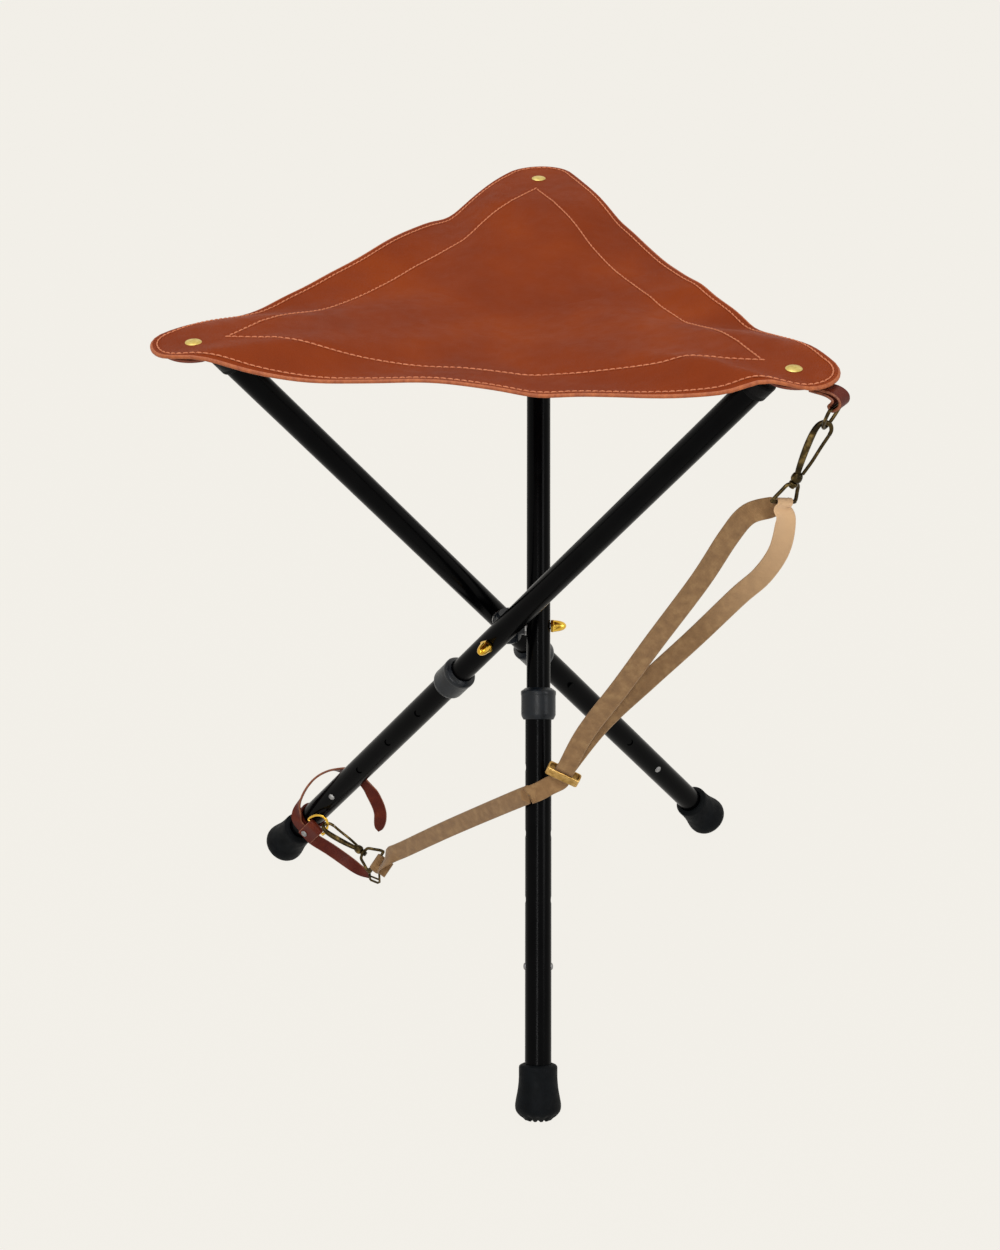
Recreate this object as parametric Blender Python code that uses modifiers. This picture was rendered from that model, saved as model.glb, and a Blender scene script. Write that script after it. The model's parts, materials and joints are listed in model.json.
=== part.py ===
# Field stool: three crossed telescopic legs on a swivel hub, a three-cornered leather seat and a strap.
# Metres, +Z up. The feet stand on z = 0, and the camera side of the stool faces -Y.
import math

import bmesh
import bpy
from mathutils import Matrix, Vector

# Legs: distances along a leg are counted from its pivot bolt, downwards
LEG_AZIMUTHS = {"front": 0.0, "left": -120.0, "right": 120.0}
LEG_TILT = math.radians(37.16)
LEG_OFFSET = 0.0251
UPPER_RADIUS = 0.0100
UPPER_WALL = 0.0010
UPPER_END = 0.302
SLIDE_CLEARANCE = 0.0003
LOWER_WALL = 0.0007
COLLAR_TOP = 0.054
COLLAR_LIP = 0.003
COLLAR_WALL = 0.0035
COLLAR_LENGTH = 0.020
COLLAR_CHAMFER = 0.005
COLLAR_EDGE = 0.0010
HOLE_RADIUS = 0.0033
BUTTON_AT = 0.284
HOLE_PITCH = 0.055
HOLE_COUNT = 4
TUBE_STEPS = 18
ROUND_STEPS = 12
HOLE_STEPS = 8

# Rubber foot: rim, waist, flare and rounded sole
FOOT_TOP = 0.3645
FOOT_RIM_RADIUS = 0.0160
FOOT_RIM = 0.003
FOOT_WAIST_RADIUS = 0.0155
FOOT_FLARE_RADIUS = 0.0188
FOOT_LENGTH = 0.0455
FOOT_SOLE = 0.0140
SOLE_FLAT = 0.0012

# Hub, bolts and nuts
HUB_X = 0.0093
HUB_Y = -0.0085
HUB_RADIUS = 0.0105
HUB_HEIGHT = 0.026
HUB_EDGE = 0.002
ARM_RADIUS = 0.0075
WASHER_RADIUS = 0.0080
WASHER_THICKNESS = 0.0012
BOLT_RADIUS = 0.0030
BOLT_DEPTH = 0.0080
NUT_RADIUS = 0.0062
NUT_HEX = 0.0060
NUT_DOME = 0.0066
NUT_WALL = 0.0030

# Leather seat: a rounded triangle that sags between the leg ends
SEAT_THICKNESS = 0.0030
CORNER_AZIMUTH = 84.1
CORNER_RADIUS = 0.246
CORNER_ROUND = 0.030
SIDE_MIDDLE = 0.1495
CORNER_Z = 0.3035
EDGE_Z = 0.2920
MIDDLE_Z = 0.2790
FLAT_FROM = 0.190
RIDGE_NEAR = 0.024
RIDGE_FAR = 0.080
CENTRE_SOFTNESS = 0.030

# Corner pockets and rivets
RIVET_AT = CORNER_RADIUS - 0.002
RIVET_SHANK = 0.0020
RIVET_CAP = 0.0062
RIVET_CAP_HEIGHT = 0.0022
RIVET_BACK = 0.0045
RIVET_BACK_HEIGHT = 0.0012
POCKET_WALL = 0.0022
POCKET_DEPTH = 0.030
POCKET_PLATE = 0.0025
POCKET_PLATE_HALF = 0.0225
POCKET_PLATE_LENGTH = 0.032
POCKET_PLATE_TAIL = 0.0135
PLUG_FLANGE = 0.0020
PLUG_EDGE = 0.001
PLUG_STEM = 0.012
GAP = 0.0003
CUT_PAST = 0.002

# Snap buttons and their leaf spring
BUTTON_RADIUS = 0.0029
BUTTON_PROUD = 0.0014
BUTTON_BASE = 0.0016
BUTTON_STEP = 0.0006
LEAF_THICKNESS = 0.0005
LEAF_WIDTH = 0.0060
LEAF_LENGTH = 0.036

# Carrying strap and its hardware
WEBBING_WIDTH = 0.0155
WEBBING_THICKNESS = 0.0015
RING_WIRE = 0.0013
RING_HALF_WIDTH = 0.0100
RING_DEPTH = 0.0170
HOOK_WIRE = 0.0017
GATE_WIRE = 0.0010
HOOK_NECK = 0.036
HOOK_SHOULDER = 0.0430
HOOK_SPREAD = 0.0056
HOOK_NOSE = 0.0040
KNUCKLE_RADIUS = 0.0030
GATE_FOOT = 0.0022
GATE_PLAY = 0.0006
COLLET_RADIUS = 0.0034
COLLET_LENGTH = 0.0034
PIN_RADIUS = 0.0012
PIN_HEAD = 0.0022
PIN_HEAD_HEIGHT = 0.0012
EYE_WIRE = 0.0014
EYE_HALF_WIDTH = 0.0112
EYE_BAR = 0.0606
SLIDER_WIDTH = 0.0290
SLIDER_HEIGHT = 0.0085
SLIDER_DEPTH = 0.0089
SLIDER_WALL = 0.0013
LOOP_WIDTH = 0.014
LOOP_THICKNESS = 0.0020
# The strap loop's route: how far out from the corner's rivet, and how far under the loop's top ply
LOOP_PATH = [(0.008, 0.0), (0.024, 0.0), (0.0335, 0.0), (0.0395, 0.0030), (0.0410, 0.0080),
             (0.0385, 0.0122), (0.0345, 0.0138), (0.0305, 0.0122), (0.0285, 0.0085), (0.0260, 0.0050),
             (0.0200, 0.0032), (0.0120, 0.0030)]
LOOP_LOWEST = 6
UPPER_RING_LEAN = 20.0
UPPER_HOOK_LEAN = 22.5
LOWER_EYE_TURN = -47.7
LOWER_PULL = Vector((0, 0.956, 0.293)).normalized()
RING_TOUCH = math.radians(55)
EYE_SHOULDER = ((0.0026, 0.0), (0.0070, 0.0035))
EYE_CORNER = 0.001
EYE_SIDE = 0.006

# Ankle belt
BELT_WIDTH = 0.0120
BELT_THICKNESS = 0.0020
BELT_LIFT = 0.0006
KEEPER_FROM = 0.336
KEEPER_LENGTH = 0.014
KEEPER_WALL = 0.0020
TAB_WIDTH = 0.0120
TAB_THICKNESS = 0.0016
TAB_RISE = 0.004
TAB_DROP = 0.005
TAB_END = 0.002
BELT_RIVET_AT = 0.0070
BELT_RIVET_SHANK = 0.0015
BELT_RIVET_HEAD = 0.0032
BELT_RIVET_HEIGHT = 0.0014
BUCKLE_HALF_WIDTH = 0.0075
BUCKLE_LENGTH = 0.0110
BUCKLE_WIRE = 0.0011
BUCKLE_LEAD = Vector((0, 0.80, 0.60)).normalized()
PRONG_WIRE = 0.00088
PRONG_PAST = 0.001
PRONG_START = 0.0004

LOWER_INNER = UPPER_RADIUS + SLIDE_CLEARANCE
LOWER_RADIUS = LOWER_INNER + LOWER_WALL
SEAT_UNDER = CORNER_Z - SEAT_THICKNESS
POCKET_RADIUS = UPPER_RADIUS + GAP + POCKET_WALL
KEEPER_OUT = LOWER_RADIUS + GAP + KEEPER_WALL
BELT_FRONT = KEEPER_OUT + GAP + BELT_THICKNESS / 2 + BELT_LIFT
BELT_LEVEL = -KEEPER_FROM - KEEPER_LENGTH / 2
# The ankle belt's route in the left leg's frame, from its tongue round the leg to its buckle
BELT_PATH = [(-0.0150, 0.0540, -0.3000), (-0.0155, 0.0430, -0.2810), (-0.0155, 0.0290, -0.2715),
             (-0.0150, 0.0150, -0.2670), (-0.0150, 0.0000, -0.2680), (-0.0130, -0.0110, -0.2745),
             (-0.0070, -0.0190, -0.2800), (0.0010, -0.0235, -0.2930), (0.0070, -0.0220, -0.3100),
             (0.0120, -0.0160, -0.3260), (BELT_FRONT, -0.0080, BELT_LEVEL + 0.0030),
             (BELT_FRONT, 0.0020, BELT_LEVEL), (BELT_FRONT, 0.0110, BELT_LEVEL - 0.0010),
             (0.0125, 0.0210, BELT_LEVEL - 0.0010), (0.0078, 0.0350, BELT_LEVEL - 0.0010),
             (0.0042, 0.0520, BELT_LEVEL), (0.0030, 0.0690, -0.3390), (0.0026, 0.0770, -0.3330)]
BELT_RING_BAR = (0.0150, 0.0100, -0.3300)
POCKET_END = (SEAT_UNDER - GAP - POCKET_RADIUS * math.sin(LEG_TILT)) / math.cos(LEG_TILT)
PLUG_END = POCKET_END - POCKET_WALL - GAP
UPPER_TOP = PLUG_END - PLUG_FLANGE
TIP_ANGLE = 90.0 - math.degrees(math.asin(LEG_OFFSET / RIVET_AT))
FACING = Vector((-0.010, -0.840, 0.543)).normalized()

collections = {}


def clear_scene():
    for item in list(bpy.data.objects):
        bpy.data.objects.remove(item, do_unlink=True)
    for name in ("field_stool", "cutters"):
        collections[name] = bpy.data.collections.new(name)
        bpy.context.scene.collection.children.link(collections[name])


def material(finish):
    """One material for each finish, shared by all the pieces that have it."""
    if finish in bpy.data.materials:
        return bpy.data.materials[finish]
    color, roughness, metallic = FINISHES[finish]
    made = bpy.data.materials.new(finish)
    made.use_nodes = True
    shader = made.node_tree.nodes["Principled BSDF"]
    shader.inputs["Base Color"].default_value = (*color, 1.0)
    shader.inputs["Roughness"].default_value = roughness
    shader.inputs["Metallic"].default_value = metallic
    made.diffuse_color = (*color, 1.0)
    return made


FINISHES = {
    "black_paint": ((0.010, 0.010, 0.012), 0.30, 0.0),
    "black_plastic": ((0.014, 0.017, 0.020), 0.55, 0.0),
    "black_rubber": ((0.012, 0.014, 0.016), 0.75, 0.0),
    "tan_leather": ((0.240, 0.055, 0.018), 0.55, 0.0),
    "brass": ((0.600, 0.380, 0.070), 0.25, 1.0),
    "antique_brass": ((0.200, 0.140, 0.050), 0.40, 1.0),
    "steel": ((0.500, 0.500, 0.500), 0.30, 1.0),
    "khaki_webbing": ((0.270, 0.150, 0.055), 0.85, 0.0),
}


def add_object(name, mesh, finish, parent=None, place=None, kind="field_stool"):
    made = bpy.data.objects.new(name, mesh)
    collections[kind].objects.link(made)
    made.parent = parent
    made.matrix_local = place or Matrix.Identity(4)
    if finish:
        mesh.materials.append(material(finish))
    return made


def add_empty(name, place, parent=None):
    made = bpy.data.objects.new(name, None)
    collections["field_stool"].objects.link(made)
    made.parent = parent
    made.matrix_local = place
    return made


def as_cutter(item):
    for holder in list(item.users_collection):
        holder.objects.unlink(item)
    collections["cutters"].objects.link(item)
    item.hide_render = True
    item.display_type = "WIRE"


def boolean(item, other, operation):
    as_cutter(other)
    step = item.modifiers.new(other.name, "BOOLEAN")
    step.operation = operation
    step.object = other


def turned(name, profile, finish, parent=None, place=None, steps=TUBE_STEPS, closed=False):
    """A turned solid about its own Z. The profile's outer side runs from top to bottom."""
    mesh = bpy.data.meshes.new(name)
    edges = [(i, i + 1) for i in range(len(profile) - 1)]
    if closed:
        edges.append((len(profile) - 1, 0))
    mesh.from_pydata([(r, 0.0, z) for r, z in profile], edges, [])
    made = add_object(name, mesh, finish, parent, place)
    screw = made.modifiers.new("turn", "SCREW")
    screw.steps = steps
    screw.render_steps = steps
    screw.use_merge_vertices = True
    screw.merge_threshold = 0.00001
    return made


def rod(name, radius, low, high, finish, parent=None, place=None, steps=ROUND_STEPS):
    profile = [(0.0, high), (radius, high), (radius, low), (0.0, low)]
    return turned(name, profile, finish, parent, place, steps)


def tube(name, outer, inner, low, high, finish, parent=None, place=None, steps=TUBE_STEPS):
    profile = [(outer, high), (outer, low), (inner, low), (inner, high)]
    return turned(name, profile, finish, parent, place, steps, closed=True)


def box(name, size, finish, parent=None, place=None):
    mesh = bpy.data.meshes.new(name)
    build = bmesh.new()
    bmesh.ops.create_cube(build, size=1.0)
    bmesh.ops.scale(build, vec=size, verts=build.verts)
    build.to_mesh(mesh)
    build.free()
    return add_object(name, mesh, finish, parent, place)


def mesh_of_curve(name, curve):
    """The curve as a closed mesh, with its caps welded."""
    guide = bpy.data.objects.new(name + "_path", curve)
    collections["cutters"].objects.link(guide)
    mesh = bpy.data.meshes.new_from_object(guide.evaluated_get(bpy.context.evaluated_depsgraph_get()))
    bpy.data.objects.remove(guide, do_unlink=True)
    build = bmesh.new()
    build.from_mesh(mesh)
    bmesh.ops.remove_doubles(build, verts=build.verts, dist=0.00001)
    build.to_mesh(mesh)
    build.free()
    mesh.name = name
    return mesh


def wire(name, points, radius, finish, parent=None, place=None, cyclic=False, sides=1):
    """A bent round wire."""
    curve = bpy.data.curves.new(name, "CURVE")
    curve.dimensions = "3D"
    curve.bevel_depth = radius
    curve.bevel_resolution = sides
    curve.use_fill_caps = True
    line = curve.splines.new("POLY")
    line.points.add(len(points) - 1)
    for point, at in zip(line.points, points):
        point.co = (*at, 1.0)
    line.use_cyclic_u = cyclic
    return add_object(name, mesh_of_curve(name, curve), finish, parent, place)


def smooth_path(points, pieces):
    """Points along a Catmull-Rom curve through the given points, with some pieces to each span."""
    knots = [Vector(p) for p in points]
    knots = [2 * knots[0] - knots[1]] + knots + [2 * knots[-1] - knots[-2]]
    path = []
    for a, b, c, d in zip(knots, knots[1:], knots[2:], knots[3:]):
        for step in range(pieces):
            t = step / pieces
            bend = (2 * a - 5 * b + 4 * c - d) * t * t + (3 * b - a - 3 * c + d) * t ** 3
            path.append(0.5 * (2 * b + (c - a) * t + bend))
    return path + [knots[-2]]


def ribbon(name, points, across, width, thickness, finish, parent=None, place=None):
    """A flat strip lofted along a path. across holds the strip's width direction at each point."""
    build = bmesh.new()
    rings = []
    last = len(points) - 1
    for i, (at, side) in enumerate(zip(points, across)):
        along = (points[min(i + 1, last)] - points[max(i - 1, 0)]).normalized()
        side = (side - along * side.dot(along)).normalized()
        flat = side.cross(along)
        corners = ((1, 1), (-1, 1), (-1, -1), (1, -1))
        rings.append([build.verts.new(at + side * (u * width / 2) + flat * (v * thickness / 2))
                      for u, v in corners])
    for one, two in zip(rings, rings[1:]):
        for k in range(4):
            build.faces.new((one[k], two[k], two[(k + 1) % 4], one[(k + 1) % 4]))
    build.faces.new(rings[0])
    build.faces.new(rings[-1][::-1])
    mesh = bpy.data.meshes.new(name)
    build.to_mesh(mesh)
    build.free()
    return add_object(name, mesh, finish, parent, place)


def spin(degrees):
    return Matrix.Rotation(math.radians(degrees), 4, "Z")


def basis(x_axis, y_axis, z_axis, at):
    """A placement from three axes and a point."""
    turn = Matrix((x_axis, y_axis, z_axis)).transposed().to_4x4()
    return Matrix.Translation(at) @ turn


ALONG_X = basis((0, 0, -1), (0, 1, 0), (1, 0, 0), (0, 0, 0))
ALONG_MINUS_X = basis((0, 0, 1), (0, 1, 0), (-1, 0, 0), (0, 0, 0))


def foot_profile():
    """Radius and distance down the leg, from the bore's end round to the sole."""
    bottom = FOOT_TOP + FOOT_LENGTH
    bore = LOWER_RADIUS + GAP
    return [
        (0.0, bottom - FOOT_SOLE), (bore, bottom - FOOT_SOLE), (bore, FOOT_TOP),
        (FOOT_RIM_RADIUS, FOOT_TOP), (FOOT_RIM_RADIUS, FOOT_TOP + FOOT_RIM),
        (FOOT_WAIST_RADIUS, FOOT_TOP + 0.18 * FOOT_LENGTH),
        (FOOT_WAIST_RADIUS, FOOT_TOP + 0.38 * FOOT_LENGTH),
        (0.97 * FOOT_FLARE_RADIUS, FOOT_TOP + 0.62 * FOOT_LENGTH),
        (FOOT_FLARE_RADIUS, bottom - 0.26 * FOOT_LENGTH),
        (0.94 * FOOT_FLARE_RADIUS, bottom - 0.15 * FOOT_LENGTH),
        (0.76 * FOOT_FLARE_RADIUS, bottom - 0.055 * FOOT_LENGTH),
        (0.48 * FOOT_FLARE_RADIUS, bottom), (0.0, bottom),
    ]


def foot_reach():
    return max(t * math.cos(LEG_TILT) + r * math.sin(LEG_TILT) for r, t in foot_profile())


PIVOT_HEIGHT = foot_reach() - SOLE_FLAT


def smoothstep(value):
    value = min(max(value, 0.0), 1.0)
    return value * value * (3 - 2 * value)


def seat_reach(angle):
    """The seat's outer radius at an angle from its nearest corner, in degrees from 0 to 60."""
    arc_end = math.degrees(math.atan2(CORNER_ROUND * math.sin(math.pi / 3),
                                      CORNER_RADIUS + CORNER_ROUND * math.cos(math.pi / 3)))
    turn = math.radians(angle)
    if angle <= arc_end:
        across = CORNER_RADIUS * math.sin(turn)
        return CORNER_RADIUS * math.cos(turn) + math.sqrt(CORNER_ROUND ** 2 - across ** 2)
    straight = CORNER_RADIUS * math.cos(math.pi / 3) + CORNER_ROUND
    bow = (straight - SIDE_MIDDLE) * (1 - min(1.0, (60 - angle) / 40) ** 2)
    return (straight - bow) / math.cos(math.radians(60 - angle))


def seat_height(radius, angle):
    """The seat's top surface above the pivots: ridges to the corners, and sagging sides."""
    def rise(r):
        return math.sqrt(r * r + CENTRE_SOFTNESS ** 2) - CENTRE_SOFTNESS
    ridge = MIDDLE_Z + (CORNER_Z - MIDDLE_Z) * min(1.0, rise(radius) / rise(FLAT_FROM))
    side = MIDDLE_Z + (EDGE_Z - MIDDLE_Z) * (radius / seat_reach(angle)) ** 2.4
    across = radius * math.sin(math.radians(angle))
    weight = 1 - smoothstep((across - RIDGE_NEAR) / (RIDGE_FAR - RIDGE_NEAR))
    return side + (ridge - side) * weight


def seat(hub):
    half = [0, 2, 4, 5.7, 9, 14, 21, 30, 40, 50]
    angles = half + [60] + [120 - a for a in half[:0:-1]]
    rings = [0.18, 0.36, 0.52, 0.67, 0.80, 0.90, 1.0]
    build = bmesh.new()
    centre = build.verts.new((0, 0, MIDDLE_Z))
    grid = []
    for corner in range(3):
        for a in angles:
            near = min(a, 120 - a)
            turn = math.radians(CORNER_AZIMUTH + 120 * corner + a)
            column = []
            for share in rings:
                r = share * seat_reach(near)
                place = (r * math.cos(turn), r * math.sin(turn), seat_height(r, near))
                column.append(build.verts.new(place))
            grid.append(column)
    for one, two in zip(grid, grid[1:] + grid[:1]):
        build.faces.new((centre, one[0], two[0]))
        for k in range(len(rings) - 1):
            build.faces.new((one[k], one[k + 1], two[k + 1], two[k]))
    mesh = bpy.data.meshes.new("seat_leather")
    build.to_mesh(mesh)
    build.free()
    made = add_object("seat_leather", mesh, "tan_leather", hub)
    skin = made.modifiers.new("thickness", "SOLIDIFY")
    skin.thickness = SEAT_THICKNESS
    skin.offset = -1.0
    for name, azimuth in LEG_AZIMUTHS.items():
        at = spin(azimuth + TIP_ANGLE) @ Vector((RIVET_AT, 0, 0))
        hole = rod("seat_hole_" + name, RIVET_SHANK + GAP, SEAT_UNDER - CUT_PAST, CORNER_Z + CUT_PAST, None,
                   hub, Matrix.Translation(at))
        boolean(made, hole, "DIFFERENCE")


def hub_block(hub):
    half = HUB_HEIGHT / 2
    flat = HUB_RADIUS - HUB_EDGE
    made = turned("hub_block", [(0, half), (flat, half), (HUB_RADIUS, half - HUB_EDGE),
                                (HUB_RADIUS, HUB_EDGE - half), (flat, -half), (0, -half)],
                  "black_plastic", hub)
    arm_end = LEG_OFFSET - UPPER_RADIUS - 2 * GAP - WASHER_THICKNESS
    for name, azimuth in LEG_AZIMUTHS.items():
        arm = rod("hub_arm_" + name, ARM_RADIUS, 0.1 * HUB_RADIUS, arm_end, None, hub,
                  spin(azimuth) @ ALONG_X)
        boolean(made, arm, "UNION")
    for name, azimuth in LEG_AZIMUTHS.items():
        bore = rod("hub_bore_" + name, BOLT_RADIUS + GAP, arm_end - BOLT_DEPTH - GAP,
                   arm_end + CUT_PAST, None, hub, spin(azimuth) @ ALONG_X)
        boolean(made, bore, "DIFFERENCE")


def pivot(name, plumb):
    """Washer, bolt and acorn nut of one leg. The bolt's axis is the leg frame's X."""
    inner = -UPPER_RADIUS - GAP
    arm_end = inner - GAP - WASHER_THICKNESS
    tube("washer_" + name, WASHER_RADIUS, BOLT_RADIUS + GAP, inner - WASHER_THICKNESS, inner,
         "steel", plumb, ALONG_X, ROUND_STEPS)
    nut_from = UPPER_RADIUS + GAP
    nut_end = nut_from + NUT_HEX + NUT_DOME
    bolt_end = nut_end - NUT_WALL
    rod("pivot_bolt_" + name, BOLT_RADIUS, arm_end - BOLT_DEPTH, bolt_end - GAP, "steel", plumb, ALONG_X)
    dome_from = nut_from + 0.2 * NUT_HEX
    profile = [(0, nut_end), (0.35 * NUT_RADIUS, nut_end - 0.08 * NUT_DOME),
               (0.7 * NUT_RADIUS, nut_end - 0.36 * NUT_DOME), (0.86 * NUT_RADIUS, nut_from + NUT_HEX),
               (0.86 * NUT_RADIUS, dome_from), (0, dome_from)]
    nut = turned("acorn_nut_" + name, profile, "brass", plumb, ALONG_X, ROUND_STEPS)
    hexagon = rod("nut_hexagon_" + name, NUT_RADIUS, nut_from, nut_from + NUT_HEX, None, plumb, ALONG_X, 6)
    boolean(nut, hexagon, "UNION")
    bore = rod("nut_bore_" + name, BOLT_RADIUS + GAP, nut_from - CUT_PAST, bolt_end, None, plumb, ALONG_X)
    boolean(nut, bore, "DIFFERENCE")


def upper_leg(name, leg):
    made = tube("upper_tube_" + name, UPPER_RADIUS, UPPER_RADIUS - UPPER_WALL, -UPPER_END, UPPER_TOP,
                "black_paint", leg)
    reach = UPPER_RADIUS + CUT_PAST
    pivot_hole = rod("pivot_hole_" + name, BOLT_RADIUS + GAP, -reach, reach, None, leg, ALONG_X)
    boolean(made, pivot_hole, "DIFFERENCE")
    at = Matrix.Translation((0, 0, -BUTTON_AT)) @ ALONG_X
    clip_hole = rod("clip_hole_" + name, HOLE_RADIUS, -reach, reach, None, leg, at, HOLE_STEPS)
    boolean(made, clip_hole, "DIFFERENCE")
    stem = UPPER_RADIUS - UPPER_WALL - GAP
    turned("top_plug_" + name, [(0, PLUG_END), (UPPER_RADIUS - PLUG_EDGE, PLUG_END),
                                (UPPER_RADIUS, PLUG_END - PLUG_EDGE), (UPPER_RADIUS, UPPER_TOP + GAP),
                                (stem, UPPER_TOP + GAP), (stem, UPPER_TOP - PLUG_STEM),
                                (0, UPPER_TOP - PLUG_STEM)], "black_plastic", leg)


def corner_pocket(name, leg, plumb):
    """The leather cup round the leg's end, joined to the flat layer under the seat's corner."""
    bore = UPPER_RADIUS + GAP
    inner_end = POCKET_END - POCKET_WALL
    mouth = POCKET_END - POCKET_DEPTH
    profile = [(0, POCKET_END), (POCKET_RADIUS, POCKET_END), (POCKET_RADIUS, mouth), (bore, mouth),
               (bore, inner_end), (0, inner_end)]
    cup = turned("corner_pocket_" + name, profile, "tan_leather", leg)
    top = SEAT_UNDER - GAP
    outward = spin(TIP_ANGLE) @ Vector((1, 0, 0))
    centre = outward * RIVET_AT - Vector((LEG_OFFSET, 0, 0))
    turn = Matrix.Translation(centre) @ spin(TIP_ANGLE)
    half = POCKET_PLATE_HALF
    outline = [(-POCKET_PLATE_LENGTH, -POCKET_PLATE_TAIL), (0, -half)]
    outline += [(half * math.sin(a), -half * math.cos(a))
                for a in [math.radians(d) for d in range(20, 180, 20)]]
    outline += [(0, half), (-POCKET_PLATE_LENGTH, POCKET_PLATE_TAIL)]
    curve = bpy.data.curves.new("pocket_plate_" + name, "CURVE")
    curve.dimensions = "2D"
    curve.fill_mode = "BOTH"
    curve.extrude = POCKET_PLATE / 2
    line = curve.splines.new("POLY")
    line.points.add(len(outline) - 1)
    for point, (x, y) in zip(line.points, outline):
        point.co = (x, y, 0, 1)
    line.use_cyclic_u = True
    level = Matrix.Translation((0, 0, top - POCKET_PLATE / 2))
    plate = add_object("pocket_plate_" + name, mesh_of_curve("pocket_plate_" + name, curve), None, plumb,
                       level @ turn)
    boolean(cup, plate, "UNION")
    hollow = rod("pocket_hollow_" + name, bore, mouth - CUT_PAST, inner_end, None, leg, None, TUBE_STEPS)
    boolean(cup, hollow, "DIFFERENCE")
    under = top - POCKET_PLATE - GAP
    hole = rod("pocket_hole_" + name, RIVET_SHANK + GAP, under - RIVET_BACK_HEIGHT - CUT_PAST, top + CUT_PAST,
               None, plumb, Matrix.Translation(centre))
    boolean(cup, hole, "DIFFERENCE")
    over = CORNER_Z + GAP
    turned("corner_rivet_" + name, [
        (0, over + RIVET_CAP_HEIGHT), (0.55 * RIVET_CAP, over + 0.85 * RIVET_CAP_HEIGHT),
        (RIVET_CAP, over + 0.2 * RIVET_CAP_HEIGHT), (RIVET_CAP, over), (RIVET_SHANK, over),
        (RIVET_SHANK, under), (RIVET_BACK, under), (RIVET_BACK, under - RIVET_BACK_HEIGHT),
        (0, under - RIVET_BACK_HEIGHT)], "brass", plumb, Matrix.Translation(centre),
           ROUND_STEPS)


def lower_leg(name, leg, floor):
    bottom = FOOT_TOP + FOOT_LENGTH - FOOT_SOLE - GAP
    top = COLLAR_TOP + COLLAR_LIP + GAP
    made = tube("lower_tube_" + name, LOWER_RADIUS, LOWER_INNER, -bottom, -top, "black_paint", leg)
    reach = LOWER_RADIUS + CUT_PAST
    for k in range(HOLE_COUNT):
        at = Matrix.Translation((0, 0, k * HOLE_PITCH - BUTTON_AT)) @ ALONG_X
        hole = rod("lock_hole_%s_%d" % (name, k), HOLE_RADIUS, -reach, reach, None, leg, at, HOLE_STEPS)
        boolean(made, hole, "DIFFERENCE")
    outer = LOWER_RADIUS + GAP + COLLAR_WALL
    low = COLLAR_TOP + COLLAR_LENGTH
    foot = low + COLLAR_CHAMFER
    turned("collar_" + name, [
        (outer - COLLAR_EDGE, -COLLAR_TOP), (outer, -COLLAR_TOP - COLLAR_EDGE), (outer, -low),
        (LOWER_RADIUS + GAP + COLLAR_EDGE, -foot), (LOWER_RADIUS + GAP, -foot),
        (LOWER_RADIUS + GAP, -COLLAR_TOP - COLLAR_LIP), (UPPER_RADIUS + GAP, -COLLAR_TOP - COLLAR_LIP),
        (UPPER_RADIUS + GAP, -COLLAR_TOP)], "black_plastic", leg, closed=True)
    rubber = turned("rubber_foot_" + name, [(r, -t) for r, t in foot_profile()], "black_rubber", leg)
    boolean(rubber, floor, "DIFFERENCE")


def snap_buttons(name, leg):
    tip = LOWER_RADIUS + BUTTON_PROUD
    base = UPPER_RADIUS - UPPER_WALL - BUTTON_BASE
    step = base + BUTTON_STEP
    wide = BUTTON_RADIUS + BUTTON_STEP
    profile = [(0, tip), (0.5 * BUTTON_RADIUS, tip - 0.15 * BUTTON_PROUD),
               (BUTTON_RADIUS, tip - 0.85 * BUTTON_PROUD), (BUTTON_RADIUS, step), (wide, step), (wide, base),
               (0, base)]
    at = Matrix.Translation((0, 0, -BUTTON_AT))
    turned("button_outer_" + name, profile, "steel", leg, at @ ALONG_X, HOLE_STEPS)
    turned("button_inner_" + name, profile, "steel", leg, at @ ALONG_MINUS_X, HOLE_STEPS)
    leaf = base - GAP - LEAF_THICKNESS / 2
    low = -BUTTON_AT - LEAF_WIDTH
    shares = ((1.0, 0.0), (1.0, 0.28), (0.75, 0.61), (0.4, 0.89))
    side = [(x * leaf, low + z * LEAF_LENGTH) for x, z in shares]
    path = side + [(0, low + LEAF_LENGTH)] + [(-x, z) for x, z in side[::-1]]
    points = smooth_path([(x, 0, z) for x, z in path], 2)
    ribbon("leaf_spring_" + name, points, [Vector((0, 1, 0))] * len(points), LEAF_WIDTH, LEAF_THICKNESS,
           "steel", leg)


def d_ring(name, frame, finish):
    """A D-ring whose bar lies along the frame's Y, with its bow down the frame's -Z."""
    pieces = 14
    points = [(0, RING_HALF_WIDTH * math.cos(a), -RING_DEPTH * math.sin(a))
              for a in [math.pi * k / pieces for k in range(pieces + 1)]]
    return wire(name, points, RING_WIRE, finish, frame, cyclic=True)


def hook_path():
    """The hook's wire in its own plane, from the neck over the arch to the nose."""
    arch = RING_WIRE + HOOK_WIRE + 2 * GAP
    body = [(0, -1.08), (-0.32, -0.92), (-0.75, -0.56), (-1.0, -0.22)]
    bow = [(-0.93, -0.28), (-0.52, 0.75), (0, 1.0), (0.52, 0.75), (0.90, -0.14)]
    points = [(x * HOOK_SPREAD, z * HOOK_NECK) for x, z in body]
    points += [(x * HOOK_SPREAD, z * arch) for x, z in bow]
    return [(x, 0, z) for x, z in points] + [(0.96 * HOOK_SPREAD, 0, -HOOK_NOSE)]


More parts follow.
